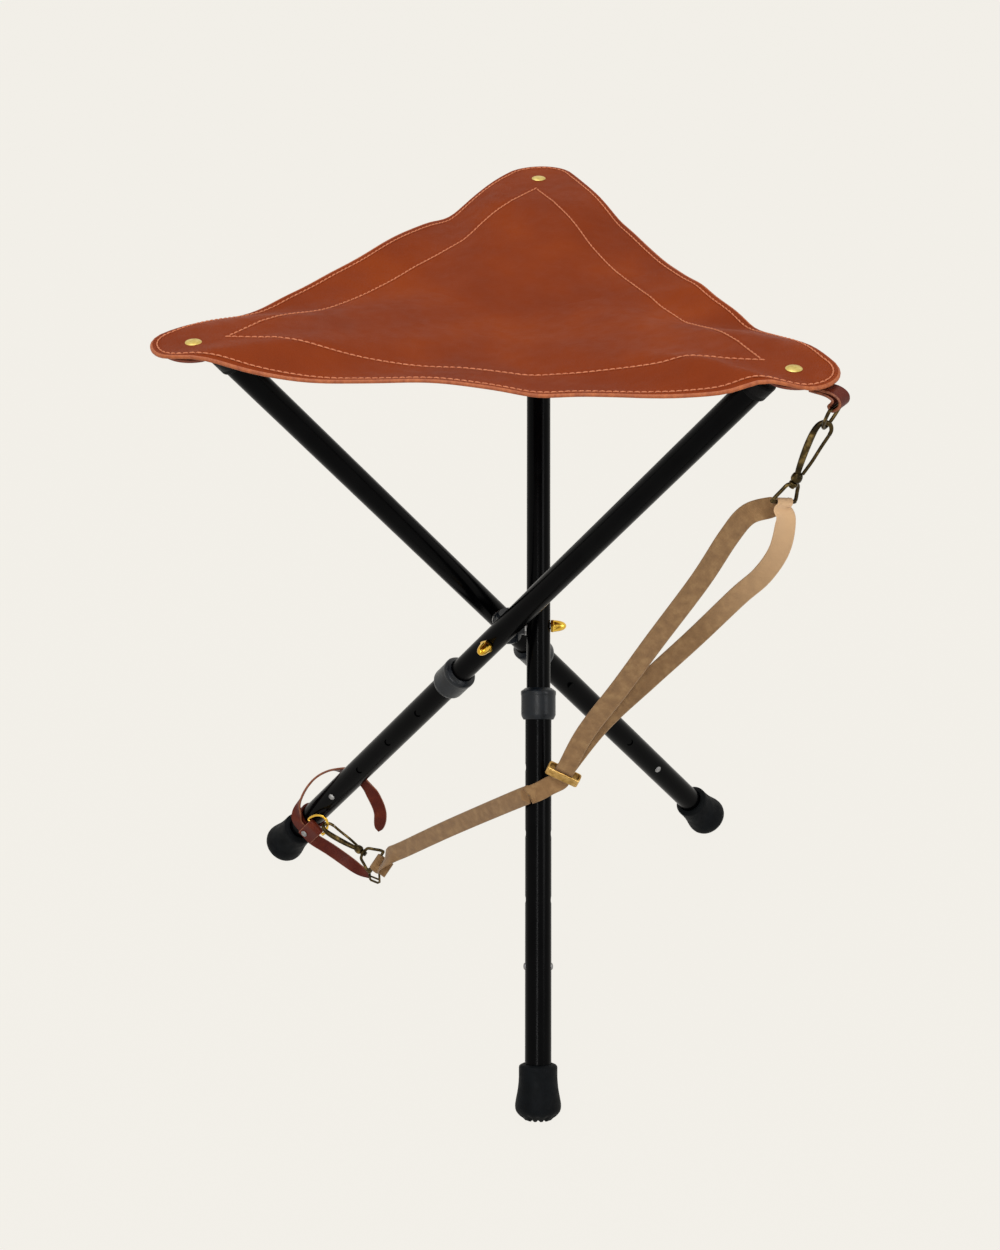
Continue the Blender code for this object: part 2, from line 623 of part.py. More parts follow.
def snap_hook(name, frame, finish):
    """Hook, gate and swivel eye. The frame's origin is the ring's wire, and its -Z runs to the eye."""
    hook = wire("hook_" + name, smooth_path(hook_path(), 2), HOOK_WIRE, finish, frame)
    neck = -HOOK_NECK
    shoulder = -HOOK_SHOULDER
    pin_end = shoulder - COLLET_LENGTH - 2 * GAP
    knuckle = turned("hook_knuckle_" + name, [
        (0, neck), (0.7 * KNUCKLE_RADIUS, neck), (KNUCKLE_RADIUS, (2 * neck + shoulder) / 3),
        (KNUCKLE_RADIUS, shoulder), (PIN_RADIUS, shoulder), (PIN_RADIUS, pin_end), (PIN_HEAD, pin_end),
        (PIN_HEAD, pin_end - PIN_HEAD_HEIGHT), (0, pin_end - PIN_HEAD_HEIGHT)
    ], None, frame, None, ROUND_STEPS)
    boolean(hook, knuckle, "UNION")
    hinge_at = Vector((GATE_FOOT, 0, neck + 1.5 * GAP))
    gate_top = Vector((0.96 * HOOK_SPREAD, 0, -HOOK_NOSE - GATE_PLAY)) - hinge_at
    wire("gate_" + name, [(0, 0, 0), 0.5 * gate_top, gate_top], GATE_WIRE, "steel", frame,
         Matrix.Translation(hinge_at))


def swivel_eye(name, frame, turn, finish):
    top = -HOOK_SHOULDER - GAP
    collet = tube("eye_" + name, COLLET_RADIUS, PIN_RADIUS + GAP, top - COLLET_LENGTH, top, finish,
                  frame, spin(turn), ROUND_STEPS)
    half = EYE_HALF_WIDTH
    start = top - COLLET_LENGTH / 2
    side = [(x, start - drop) for x, drop in EYE_SHOULDER]
    side += [(half, EYE_SIDE - EYE_BAR), (half, EYE_CORNER - EYE_BAR)]
    base = [(EYE_CORNER - half, -EYE_BAR), (half - EYE_CORNER, -EYE_BAR)]
    path = [(-x, z) for x, z in side] + base + side[::-1]
    bow = wire("eye_bow_" + name, [(x, 0, z) for x, z in path], EYE_WIRE, None, frame, spin(turn))
    boolean(collet, bow, "UNION")


def strap_loop(corner):
    """The leather loop under the seat's corner, as radius and height, and the D-ring's bar in it."""
    ply = SEAT_UNDER - 2 * GAP - POCKET_PLATE - LOOP_THICKNESS / 2
    points = smooth_path([(RIVET_AT + out, 0, ply - drop) for out, drop in LOOP_PATH], 2)
    ribbon("strap_loop", points, [Vector((0, 1, 0))] * len(points), LOOP_WIDTH, LOOP_THICKNESS,
           "tan_leather", corner)
    out, drop = LOOP_PATH[LOOP_LOWEST]
    return Vector((RIVET_AT + out, 0, ply - drop + LOOP_THICKNESS / 2 + RING_WIRE + GAP))


def strap_ends(hub, left_leg):
    """Hardware at both ends of the strap. Returns the two eye bars' centres and directions."""
    corner = add_empty("strap_corner", spin(LEG_AZIMUTHS["left"] + TIP_ANGLE), hub)
    bar = strap_loop(corner)
    lean = Matrix.Rotation(math.radians(UPPER_RING_LEAN), 4, "Y")
    ring = add_empty("upper_ring_axis", Matrix.Translation(bar) @ lean, corner)
    d_ring("d_ring_upper", ring, "antique_brass")
    bpy.context.view_layer.update()
    contact = hub.matrix_world.inverted() @ ring.matrix_world @ Vector((0, 0, -RING_DEPTH))
    swing = Matrix.Rotation(math.radians(UPPER_HOOK_LEAN), 4, "Y")
    upper = add_empty("upper_hook_axis", Matrix.Translation(contact) @ swing, hub)
    snap_hook("upper", upper, "antique_brass")
    swivel_eye("upper", upper, 0.0, "antique_brass")
    belt_ring = add_empty("belt_ring_axis", basis((-1, 0, 0), (0, 1, 0), (0, 0, -1), BELT_RING_BAR), left_leg)
    d_ring("d_ring_belt", belt_ring, "brass")
    touch = (0, RING_HALF_WIDTH * math.cos(RING_TOUCH), RING_DEPTH * math.sin(RING_TOUCH))
    contact = Vector(BELT_RING_BAR) + Vector(touch)
    up = -LOWER_PULL
    x_axis = Vector((-1, 0, 0))
    lower = add_empty("lower_hook_axis", basis(x_axis, up.cross(x_axis), up, contact), left_leg)
    snap_hook("lower", lower, "antique_brass")
    swivel_eye("lower", lower, LOWER_EYE_TURN, "antique_brass")
    bpy.context.view_layer.update()
    ends = []
    for frame, turn in ((upper, 0.0), (lower, LOWER_EYE_TURN)):
        to_hub = hub.matrix_world.inverted() @ frame.matrix_world @ spin(turn)
        turned_axes = to_hub.to_3x3()
        ends.append((to_hub @ Vector((0, 0, -EYE_BAR)), turned_axes @ Vector((1, 0, 0)),
                     turned_axes @ Vector((0, 0, -1))))
    return ends


SLIDER_AXIS = Vector((0.300, -0.230, 0.926)).normalized()
WEBBING_NORMAL = (FACING - SLIDER_AXIS * FACING.dot(SLIDER_AXIS)).normalized()

# The webbing's own route, beside the pivots' centre: hand-placed points from the slider to the upper eye
SLIDER_AT = Vector((0.0452, -0.0936, -0.0859))
FRONT_BAND = [(0.0626, -0.1002, -0.0383), (0.0889, -0.1143, 0.0168), (0.1131, -0.1279, 0.0700),
              (0.1422, -0.1440, 0.1327), (0.1596, -0.1552, 0.1768), (0.1720, -0.1600, 0.1985)]
REAR_BAND = [(0.1985, -0.1610, 0.1930), (0.1970, -0.1540, 0.1651), (0.1873, -0.1462, 0.1390),
             (0.1717, -0.1390, 0.1162), (0.1424, -0.1270, 0.0701), (0.1106, -0.1135, 0.0227),
             (0.0750, -0.0985, -0.0315)]
# Where the webbing bends round the front leg, in that leg's own frame
LEG_BEND = [(0.0095, -0.0165, -0.1340), (0.0010, -0.0150, -0.1385), (-0.0075, -0.0130, -0.1420),
            (-0.0145, -0.0078, -0.1440)]


def webbing(hub, ends, front_leg):
    (upper, upper_bar, _), (lower, lower_bar, lead) = ends
    ply = WEBBING_THICKNESS + GAP
    wrap = EYE_WIRE + GAP + WEBBING_THICKNESS / 2
    to_hub = hub.matrix_world.inverted() @ front_leg.matrix_world
    bend = [to_hub @ Vector(p) for p in LEG_BEND]
    front = lower_bar.cross(lead)
    front *= math.copysign(1.0, front.dot(FACING))
    rise = lower_bar * math.copysign(1.0, lower_bar.dot(bend[-1] - lower))
    points = [lower + lead * 0.014 - front * 0.0009, lower + lead * 0.006 - front * (wrap - 0.0004),
              lower - front * wrap, lower - lead * wrap, lower + front * wrap,
              lower + lead * 0.006 + front * wrap]
    sides = [lower_bar] * len(points)
    turn = lower + lead * 0.0130 + rise * 0.0045 + front * 0.0050
    middle = [lower.lerp(bend[-1], share) + Vector((0, 0, 0.003 * share)) for share in (0.14, 0.50)]
    slide = SLIDER_AXIS
    run = [turn] + middle + bend[::-1] + [SLIDER_AT + slide * step for step in (-0.0085, -0.0050, 0.0080)]
    run += [Vector(p) for p in FRONT_BAND]
    points += run
    sides += [None] * len(run)
    down = (Vector(FRONT_BAND[-1]) + Vector(REAR_BAND[0])) / 2 - upper
    down = (down - upper_bar * down.dot(upper_bar)).normalized()
    out = upper_bar.cross(down)
    if out.dot(FACING) < 0:
        out = -out
    points += [upper - out * (wrap + 0.0006) + down * 0.0070, upper - out * wrap, upper - down * wrap,
               upper + out * wrap, upper + out * wrap + down * 0.004]
    sides += [upper_bar] * 5
    rear = [Vector(p) for p in REAR_BAND]
    for k in range(4, len(rear)):
        rear[k] -= WEBBING_NORMAL * ply
    rear += [SLIDER_AT + slide * 0.008 - WEBBING_NORMAL * ply,
             SLIDER_AT - slide * 0.0035 - WEBBING_NORMAL * ply]
    points += rear
    sides += [None] * len(rear)
    pieces = 3
    path = smooth_path(points, pieces)
    across = []
    known = [side for side in sides for _ in range(pieces)][:len(path)]
    for i, at in enumerate(path):
        along = (path[min(i + 1, len(path) - 1)] - path[max(i - 1, 0)]).normalized()
        side = known[i] if known[i] is not None else along.cross(FACING).normalized()
        if across and side.dot(across[-1]) < 0:
            side = -side
        across.append(side)
    smooth = [sum((across[j] for j in range(max(i - 2, 0), min(i + 3, len(across)))), Vector()).normalized()
              for i in range(len(across))]
    ribbon("webbing", path, smooth, WEBBING_WIDTH, WEBBING_THICKNESS, "khaki_webbing", hub)


def slider(hub):
    """A flat keeper round the three plies of webbing."""
    z_axis = SLIDER_AXIS
    x_axis = z_axis.cross(FACING).normalized() * -1
    y_axis = z_axis.cross(x_axis)
    ply = WEBBING_THICKNESS + GAP
    place = basis(x_axis, y_axis, z_axis, SLIDER_AT - WEBBING_NORMAL * (ply / 2))
    made = box("slider", (SLIDER_WIDTH, SLIDER_DEPTH, SLIDER_HEIGHT), "antique_brass", hub, place)
    window = (SLIDER_WIDTH - 2 * SLIDER_WALL, SLIDER_DEPTH - 2 * SLIDER_WALL, SLIDER_HEIGHT + CUT_PAST)
    boolean(made, box("slider_window", window, None, hub, place), "DIFFERENCE")


def ankle_belt(leg):
    """Keeper, belt, ring tab and small rivet, all in the leg's own frame."""
    low = -KEEPER_FROM - KEEPER_LENGTH
    tube("belt_keeper", KEEPER_OUT, LOWER_RADIUS + GAP, low, -KEEPER_FROM, "tan_leather", leg)
    points = smooth_path(BELT_PATH, 2)
    last = len(points) - 1
    out = Vector((1, 0, 0))
    across = []
    for i, at in enumerate(points):
        along = (points[min(i + 1, last)] - points[max(i - 1, 0)]).normalized()
        radial = Vector((at.x, at.y, 0)).normalized()
        share = smoothstep((i - 8) / 12) if i < 26 else 1.0
        side = along.cross(radial * (1 - share) + out * share).normalized()
        if across and side.dot(across[-1]) < 0:
            side = -side
        across.append(side)
    belt = ribbon("ankle_belt", points, across, BELT_WIDTH, BELT_THICKNESS, "tan_leather", leg)
    tab_x = BELT_FRONT + BELT_THICKNESS / 2 + GAP + TAB_THICKNESS / 2
    tab = ring_tab(leg, tab_x)
    rivet_at = Matrix.Translation((0, BELT_RIVET_AT, BELT_LEVEL)) @ ALONG_X
    for piece in (belt, tab):
        hole = rod("belt_hole_" + piece.name, BELT_RIVET_SHANK + GAP, KEEPER_OUT, tab_x + BELT_THICKNESS,
                   None, leg, rivet_at)
        boolean(piece, hole, "DIFFERENCE")
    head = tab_x + TAB_THICKNESS / 2 + GAP
    foot = KEEPER_OUT + GAP
    turned("belt_rivet", [
        (0, head + BELT_RIVET_HEIGHT), (0.7 * BELT_RIVET_HEAD, head + 0.7 * BELT_RIVET_HEIGHT),
        (BELT_RIVET_HEAD, head + 0.2 * BELT_RIVET_HEIGHT), (BELT_RIVET_HEAD, head),
        (BELT_RIVET_SHANK, head), (BELT_RIVET_SHANK, foot), (0, foot)], "steel", leg, rivet_at, ROUND_STEPS)


def ring_tab(leg, tab_x):
    """The short leather tab that is riveted to the belt and holds the lower ring's bar."""
    bar_x, bar_y, bar_z = BELT_RING_BAR
    turn = RING_WIRE + GAP + TAB_THICKNESS / 2
    path = [(tab_x, BELT_LEVEL - TAB_DROP), (tab_x, BELT_LEVEL + TAB_RISE),
            (bar_x + turn + BELT_LIFT, bar_z - TAB_END)]
    path += [(bar_x + turn * math.cos(a), bar_z + turn * math.sin(a))
             for a in [math.radians(d) for d in (0, 45, 90, 135, 180)]]
    path += [(bar_x - turn, bar_z - TAB_END)]
    points = [Vector((x, bar_y, z)) for x, z in path]
    return ribbon("ring_tab", points, [Vector((0, 1, 0))] * len(points), TAB_WIDTH, TAB_THICKNESS,
                  "tan_leather", leg)


def buckle(leg):
    """The wire buckle at the belt's short end, with its prong."""
    x_axis = Vector((1, 0, 0))
    bar = Vector(BELT_PATH[-1]) + BUCKLE_LEAD * (BUCKLE_WIRE + GAP)
    frame = add_empty("buckle_axis", basis(x_axis, BUCKLE_LEAD.cross(x_axis), BUCKLE_LEAD, bar), leg)
    half = BUCKLE_HALF_WIDTH
    wire("buckle_frame", [(0, -half, 0), (0, half, 0), (0, half, BUCKLE_LENGTH), (0, -half, BUCKLE_LENGTH)],
         BUCKLE_WIRE, "antique_brass", frame, cyclic=True)
    over = 2 * BUCKLE_WIRE + GAP
    wire("buckle_prong", [(over, 0, PRONG_START), (over, 0, BUCKLE_LENGTH + PRONG_PAST)], PRONG_WIRE,
         "antique_brass", frame)


def build():
    clear_scene()
    hub = add_empty("hub_axis", Matrix.Translation((HUB_X, HUB_Y, PIVOT_HEIGHT)))
    floor = box("floor_block", (1.0, 1.0, 0.1), None, None, Matrix.Translation((0, 0, -0.05)))
    hub_block(hub)
    seat(hub)
    legs = {}
    for name, azimuth in LEG_AZIMUTHS.items():
        plumb_place = spin(azimuth) @ Matrix.Translation((LEG_OFFSET, 0, 0))
        plumb = add_empty("pivot_" + name, plumb_place, hub)
        leg = add_empty("leg_" + name, Matrix.Rotation(-LEG_TILT, 4, "X"), plumb)
        legs[name] = leg
        pivot(name, plumb)
        upper_leg(name, leg)
        corner_pocket(name, leg, plumb)
        lower_leg(name, leg, floor)
        snap_buttons(name, leg)
    bpy.context.view_layer.update()
    ends = strap_ends(hub, legs["left"])
    webbing(hub, ends, legs["front"])
    slider(hub)
    ankle_belt(legs["left"])
    buckle(legs["left"])


build()
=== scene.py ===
# A field stool: three crossed telescopic legs turn on one hub and carry a triangle of saddle
# leather by its corners. A webbing strap on two snap hooks runs from the seat to one foot.
import json
from math import atan2, copysign, cos, degrees, exp, hypot, pi, radians, sin, sqrt

import bmesh
import bpy
from mathutils import Matrix, Vector
from mathutils.noise import noise


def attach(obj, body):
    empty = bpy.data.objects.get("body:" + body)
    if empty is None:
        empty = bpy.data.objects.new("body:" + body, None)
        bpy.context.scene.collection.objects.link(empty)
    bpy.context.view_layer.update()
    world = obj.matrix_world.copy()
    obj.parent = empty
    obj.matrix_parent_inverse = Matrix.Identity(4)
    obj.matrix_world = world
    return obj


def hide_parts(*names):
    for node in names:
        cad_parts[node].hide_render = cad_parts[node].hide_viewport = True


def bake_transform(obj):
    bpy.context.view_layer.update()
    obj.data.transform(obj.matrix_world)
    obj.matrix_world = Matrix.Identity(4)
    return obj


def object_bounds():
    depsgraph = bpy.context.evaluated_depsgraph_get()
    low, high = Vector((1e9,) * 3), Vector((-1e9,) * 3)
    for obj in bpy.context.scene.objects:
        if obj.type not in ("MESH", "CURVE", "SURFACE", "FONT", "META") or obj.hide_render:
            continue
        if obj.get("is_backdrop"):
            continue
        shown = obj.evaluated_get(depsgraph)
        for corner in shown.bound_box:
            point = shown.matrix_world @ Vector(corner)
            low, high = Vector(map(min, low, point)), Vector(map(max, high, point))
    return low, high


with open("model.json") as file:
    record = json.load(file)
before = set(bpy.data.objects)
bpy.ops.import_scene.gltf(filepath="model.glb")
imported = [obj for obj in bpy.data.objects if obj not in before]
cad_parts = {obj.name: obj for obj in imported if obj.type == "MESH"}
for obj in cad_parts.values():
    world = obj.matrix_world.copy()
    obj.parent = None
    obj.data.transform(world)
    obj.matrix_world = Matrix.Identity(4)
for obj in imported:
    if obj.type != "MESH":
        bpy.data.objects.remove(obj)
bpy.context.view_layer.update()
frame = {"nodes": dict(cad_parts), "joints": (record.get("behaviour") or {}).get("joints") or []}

# Camera, floor and light
# The camera looks down on the stool from 1.3 m in front. Floor and backdrop are one warm white,
# and the light is soft, with one narrow upright lamp beside the camera for the streak on the front leg.
joints = {joint["name"]: joint for joint in frame["joints"]}
hub = sum((Vector(joints["fold_" + leg]["pos_m"]) for leg in ("front", "left", "right")), Vector()) / 3


def put(name, data):
    """Puts a new object in the scene."""
    made = bpy.data.objects.new(name, data)
    bpy.context.scene.collection.objects.link(made)
    return made


camera = put("camera", bpy.data.cameras.new("camera"))
camera.data.lens = 53.14
camera.data.sensor_width = 36.0
camera.data.shift_x = -0.0015
camera.data.shift_y = 0.0008
camera.location = hub + Vector((0.0091, -1.3070, 0.8451))
camera.rotation_euler = [radians(turn) for turn in (57.110, 0.223, 0.507)]
bpy.context.scene.camera = camera
bpy.context.scene.view_settings.view_transform = "Standard"


def shade(red, green, blue):
    """A colour as it looks on screen, 0 to 255, as Blender's own linear values."""
    parts = [value / 255 for value in (red, green, blue)]
    return [v / 12.92 if v <= 0.04045 else ((v + 0.055) / 1.055) ** 2.4 for v in parts] + [1.0]


def add_lamp(name, at, aim, size, power):
    lamp = bpy.data.lights.new(name, "AREA")
    lamp.shape = "RECTANGLE"
    lamp.size, lamp.size_y = size
    lamp.energy = power
    holder = put(name, lamp)
    holder.location = at
    holder.rotation_euler = (Vector(aim) - Vector(at)).to_track_quat("-Z", "Y").to_euler()


add_lamp("overhead", (-0.5, -0.3, 2.6), (0, 0, 0.3), (1.8, 1.8), 24)
add_lamp("front_strip", (-0.35, -2.2, 1.5), (0, 0, 0.4), (0.22, 1.3), 13)
add_lamp("right_fill", (1.9, -1.3, 1.4), (0, 0, 0.3), (0.7, 1.2), 11)


def set_sockets(node, constants):
    """Sets constants on a shader node's own sockets."""
    for socket, value in constants.items():
        node.inputs[socket].default_value = value
    return node


def shader_of(made):
    return made.node_tree.nodes["Principled BSDF"]


def finish(name, colour, roughness, metallic=0.0, specular=0.5):
    """A material with plain values. Its detail is added by calls of their own."""
    made = bpy.data.materials.new(name)
    made.use_nodes = True
    set_sockets(shader_of(made), {"Base Color": shade(*colour), "Roughness": roughness,
                                  "Metallic": metallic, "Specular IOR Level": specular})
    return made


backdrop_white = shade(243, 240, 233)
world = bpy.data.worlds.new("backdrop")
world.use_nodes = True
bpy.context.scene.world = world
tree = world.node_tree
plain = set_sockets(tree.nodes["Background"], {"Color": (1, 1, 1, 1), "Strength": 0.42})
seen = set_sockets(tree.nodes.new("ShaderNodeBackground"), {"Color": backdrop_white})


def backdrop_rays(tree):
    """1 for the rays that see the backdrop as it is: straight, mirrored or through a clear thing."""
    path = tree.nodes.new("ShaderNodeLightPath")
    either = path.outputs["Is Camera Ray"]
    for kind in ("Is Glossy Ray", "Is Transmission Ray"):
        most = tree.nodes.new("ShaderNodeMath")
        most.operation = "MAXIMUM"
        tree.links.new(either, most.inputs[0])
        tree.links.new(path.outputs[kind], most.inputs[1])
        either = most.outputs[0]
    return either


def mix_into(output, share, one, two):
    """Sends the output one shader, and as much of the other as share says."""
    tree = output.id_data
    mix = tree.nodes.new("ShaderNodeMixShader")
    tree.links.new(share, mix.inputs["Fac"])
    tree.links.new(one.outputs[0], mix.inputs[1])
    tree.links.new(two.outputs[0], mix.inputs[2])
    tree.links.new(mix.outputs[0], output.inputs["Surface"])


mix_into(tree.nodes["World Output"], backdrop_rays(tree), plain, seen)

floor_mesh = bpy.data.meshes.new("floor")
floor_half = 14
floor_mesh.from_pydata([(-floor_half, -floor_half, 0), (floor_half, -floor_half, 0),
                        (floor_half, floor_half, 0), (-floor_half, floor_half, 0)], [], [(0, 1, 2, 3)])
floor = put("floor", floor_mesh)
paper = finish("floor_paper", (232, 229, 222), 0.95)
tree = paper.node_tree
glow = set_sockets(tree.nodes.new("ShaderNodeEmission"), {"Color": backdrop_white})
share = set_sockets(tree.nodes.new("ShaderNodeMath"), {1: 0.98})
share.operation = "MULTIPLY"
tree.links.new(backdrop_rays(tree), share.inputs[0])
mix_into(tree.nodes["Material Output"], share.outputs[0], shader_of(paper), glow)
floor_mesh.materials.append(paper)
floor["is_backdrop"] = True

# Upper leg tubes
# Three 20 mm steel tubes with 1 mm walls, powder coated gloss black, that cross beside the hub.
# Each is turned about its own axis, with its ends rolled over by half a millimetre.
tilt = radians(37.16)


def axes(x, y, z):
    """The turn that takes the three axes to these directions."""
    return Matrix((x, y, z)).transposed().to_4x4()


leg_azimuths = {"front": 0.0, "left": -120.0, "right": 120.0}
plumb_frames = {}
leg_frames = {}
for leg in leg_azimuths:
    outward = Vector(joints["fold_" + leg]["axis"]).normalized()
    upright = Vector((0, 0, 1))
    across = upright.cross(outward)
    along = across * sin(tilt) + upright * cos(tilt)
    pivot = Matrix.Translation(joints["fold_" + leg]["pos_m"])
    plumb_frames[leg] = pivot @ axes(outward, across, upright)
    leg_frames[leg] = pivot @ axes(outward, along.cross(outward), along)
upper_radius = 0.0100
upper_top = 0.3627
upper_end = 0.3020


def noise_in(made, scale, detail, coordinates):
    """A noise in metres: a scale of 1000 gives spots about a millimetre across."""
    tree = made.node_tree
    where = tree.nodes.new("ShaderNodeTexCoord")
    spots = set_sockets(tree.nodes.new("ShaderNodeTexNoise"), {"Scale": scale, "Detail": detail})
    tree.links.new(where.outputs[coordinates], spots.inputs["Vector"])
    return spots.outputs["Fac"]


def blotch(made, colours, scale, spread=(0.35, 0.65), detail=5.0, coordinates="Object"):
    """Lets the colour drift between two or more shades."""
    tree = made.node_tree
    ramp = tree.nodes.new("ShaderNodeValToRGB")
    while len(ramp.color_ramp.elements) < len(colours):
        ramp.color_ramp.elements.new(0.5)
    for k, colour in enumerate(colours):
        ramp.color_ramp.elements[k].position = spread[0] + (spread[1] - spread[0]) * k / (len(colours) - 1)
        ramp.color_ramp.elements[k].color = shade(*colour)
    tree.links.new(noise_in(made, scale, detail, coordinates), ramp.inputs["Fac"])
    tree.links.new(ramp.outputs["Color"], shader_of(made).inputs["Base Color"])


def uneven_gloss(made, low, high, scale, coordinates="Object"):
    tree = made.node_tree
    band = set_sockets(tree.nodes.new("ShaderNodeMapRange"),
                       {"From Min": 0.3, "From Max": 0.7, "To Min": low, "To Max": high})
    tree.links.new(noise_in(made, scale, 4.0, coordinates), band.inputs["Value"])
    tree.links.new(band.outputs["Result"], shader_of(made).inputs["Roughness"])


def relief(made, height, depth, strength):
    """Raises the surface by a texture, on top of any relief that the material has already."""
    tree = made.node_tree
    shader = shader_of(made)
    bump = set_sockets(tree.nodes.new("ShaderNodeBump"), {"Distance": depth, "Strength": strength})
    if shader.inputs["Normal"].is_linked:
        tree.links.new(shader.inputs["Normal"].links[0].from_socket, bump.inputs["Normal"])
    tree.links.new(height, bump.inputs["Height"])
    tree.links.new(bump.outputs["Normal"], shader.inputs["Normal"])


def grain(made, scale, detail, depth, strength, coordinates="Object"):
    relief(made, noise_in(made, scale, detail, coordinates), depth, strength)


def add_piece(name, mesh, body, stands_for, smooth=35.0):
    """Puts a finished mesh on its body, in place of the CAD nodes it stands for."""
    mesh.name = name
    piece = put(name, mesh)
    mesh.shade_smooth()
    mesh.set_sharp_from_angle(angle=radians(smooth))
    if body:
        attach(piece, body)
    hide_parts(*stands_for)
    return piece


def skin(shape, rings, slots=None):
    """Joins each closed ring of points to the next one. slots are the materials round the ring."""
    for one, two in zip(rings, rings[1:]):
        for k in range(len(one)):
            after = (k + 1) % len(one)
            face = shape.faces.new((one[k], two[k], two[after], one[after]))
            face.material_index = slots[k] if slots else 0


def settle(thing):
    """The mesh that an object comes to with its modifiers or its bevel. The object goes."""
    bpy.context.view_layer.update()
    mesh = bpy.data.meshes.new_from_object(thing.evaluated_get(bpy.context.evaluated_depsgraph_get()))
    bpy.data.objects.remove(thing, do_unlink=True)
    return mesh


def mesh_from(shape, place, materials):
    """Turns a finished shape into a mesh at its place."""
    mesh = bpy.data.meshes.new("piece")
    shape.to_mesh(mesh)
    shape.free()
    return dress(mesh, place, materials)


def dress(mesh, place, materials):
    """Moves a mesh to its place and gives it its materials."""
    mesh.transform(place)
    for made in materials:
        mesh.materials.append(made)
    return mesh


def turn_profile(profile, place, materials, steps=48, ripple=None):
    """A solid turned about its Z from a closed outline of (radius, height). ripple may move the points."""
    shape = bmesh.new()
    rings = []
    for radius, height in profile:
        ring = []
        for k in range(steps):
            angle = 2 * pi * k / steps
            r, z = ripple(radius, height, angle) if ripple else (radius, height)
            ring.append((r * cos(angle), r * sin(angle), z))
        rings.append([shape.verts.new(ring[0])] if radius == 0 else [shape.verts.new(p) for p in ring])
    for one, two in zip(rings, rings[1:] + rings[:1]):
        if len(one) == 1 and len(two) == 1:
            continue
        for k in range(steps):
            after = k + 1
            corners = [one[k % len(one)], two[k % len(two)], two[after % len(two)], one[after % len(one)]]
            shape.faces.new(list(dict.fromkeys(corners)))
    bmesh.ops.recalc_face_normals(shape, faces=shape.faces)
    return mesh_from(shape, place, materials)


gloss_black = finish("gloss_black_paint", (3, 3, 4), 0.2, specular=0.045)
blotch(gloss_black, ((2, 2, 3), (5, 5, 6)), 35)
uneven_gloss(gloss_black, 0.15, 0.27, 60)
grain(gloss_black, 420, 2.0, 0.00004, 0.4)

for leg in leg_azimuths:
    wall = upper_radius - 0.0010
    outline = [(upper_radius - 0.0005, upper_top), (upper_radius, upper_top - 0.0005),
               (upper_radius, 0.005 - upper_end), (upper_radius, 0.0005 - upper_end),
               (upper_radius - 0.0005, -upper_end), (wall, -upper_end), (wall, upper_top)]
    tube = turn_profile(outline, leg_frames[leg], [gloss_black])
    add_piece("upper_leg_" + leg, tube, "upper_" + leg, ["upper_tube_" + leg])

# Lower leg tubes
# 22 mm tubes that slide over the upper ones, with four pairs of lock holes 55 mm apart.
# The holes are drilled through both walls, and the paint runs into their edges.
lower_radius = 0.0110
lower_bore = 0.0103
hole_radius = 0.0033
button_at = 0.284
hole_pitch = 0.055
drill_half = 0.013


def spin(angle, axis):
    return Matrix.Rotation(radians(angle), 4, axis)


along_x = spin(90, "Y")
for leg in leg_azimuths:
    top, end = -0.0573, -0.3957
    outline = [(lower_radius - 0.0003, top), (lower_radius, top - 0.0004), (lower_radius, end),
               (lower_bore, end), (lower_bore, top)]
    tube = turn_profile(outline, leg_frames[leg], [gloss_black], 40)
    sleeve = put("sleeve", tube)
    drills = []
    for k in range(4):
        drill_at = leg_frames[leg] @ Matrix.Translation((0, 0, k * hole_pitch - button_at)) @ along_x
        rod = turn_profile([(0, drill_half), (hole_radius, drill_half), (hole_radius, -drill_half),
                            (0, -drill_half)], drill_at, [gloss_black], 20)
        drills.append(put("drill", rod))
        cut = sleeve.modifiers.new("hole", "BOOLEAN")
        cut.object = drills[-1]
        cut.operation = "DIFFERENCE"
        cut.material_mode = "TRANSFER"
    drilled = settle(sleeve)
    for drill in drills:
        bpy.data.objects.remove(drill, do_unlink=True)
    add_piece("lower_leg_" + leg, drilled, "lower_" + leg, ["lower_tube_" + leg])

# Collars
# A moulded plastic collar caps each lower tube and guides the upper one. It has a sloping
# shoulder and a slim lip at the top, a straight body, and a short taper at the bottom.
collar_radius = 0.0148
fit_gap = 0.0003

black_plastic = finish("black_moulding", (12, 18, 25), 0.36, specular=0.3)
blotch(black_plastic, ((9, 14, 20), (16, 23, 31)), 140)
uneven_gloss(black_plastic, 0.30, 0.42, 220)
grain(black_plastic, 1500, 3.0, 0.00006, 0.5)

for leg in leg_azimuths:
    bore = upper_radius + fit_gap
    grip = lower_radius + fit_gap
    outline = [(bore, -0.0524), (bore + 0.0006, -0.0523), (0.0130, -0.0538), (0.0144, -0.0547),
               (collar_radius, -0.0556), (collar_radius, -0.0580), (0.0146, -0.0585), (0.0145, -0.0590),
               (0.0145, -0.0745), (0.0143, -0.0757), (0.0130, -0.0783), (0.0126, -0.0789),
               (grip, -0.0790), (grip, -0.0571), (bore, -0.0571)]
    collar = turn_profile(outline, leg_frames[leg], [black_plastic])
    add_piece("collar_cap_" + leg, collar, "lower_" + leg, ["collar_" + leg])

# Rubber feet
# Each foot is a moulded ferrule with a sloping rim and a flared, rounded sole with twelve small
# cleats below. It is worn flat where it stands, so every point below the floor is lifted to it.
foot_top = 0.3645

black_rubber = finish("black_rubber", (7, 10, 12), 0.6, specular=0.08)
blotch(black_rubber, ((4, 6, 8), (8, 11, 14), (14, 18, 21)), 90, (0.35, 0.80))
uneven_gloss(black_rubber, 0.50, 0.70, 160)
grain(black_rubber, 1300, 5.0, 0.00012, 0.6)


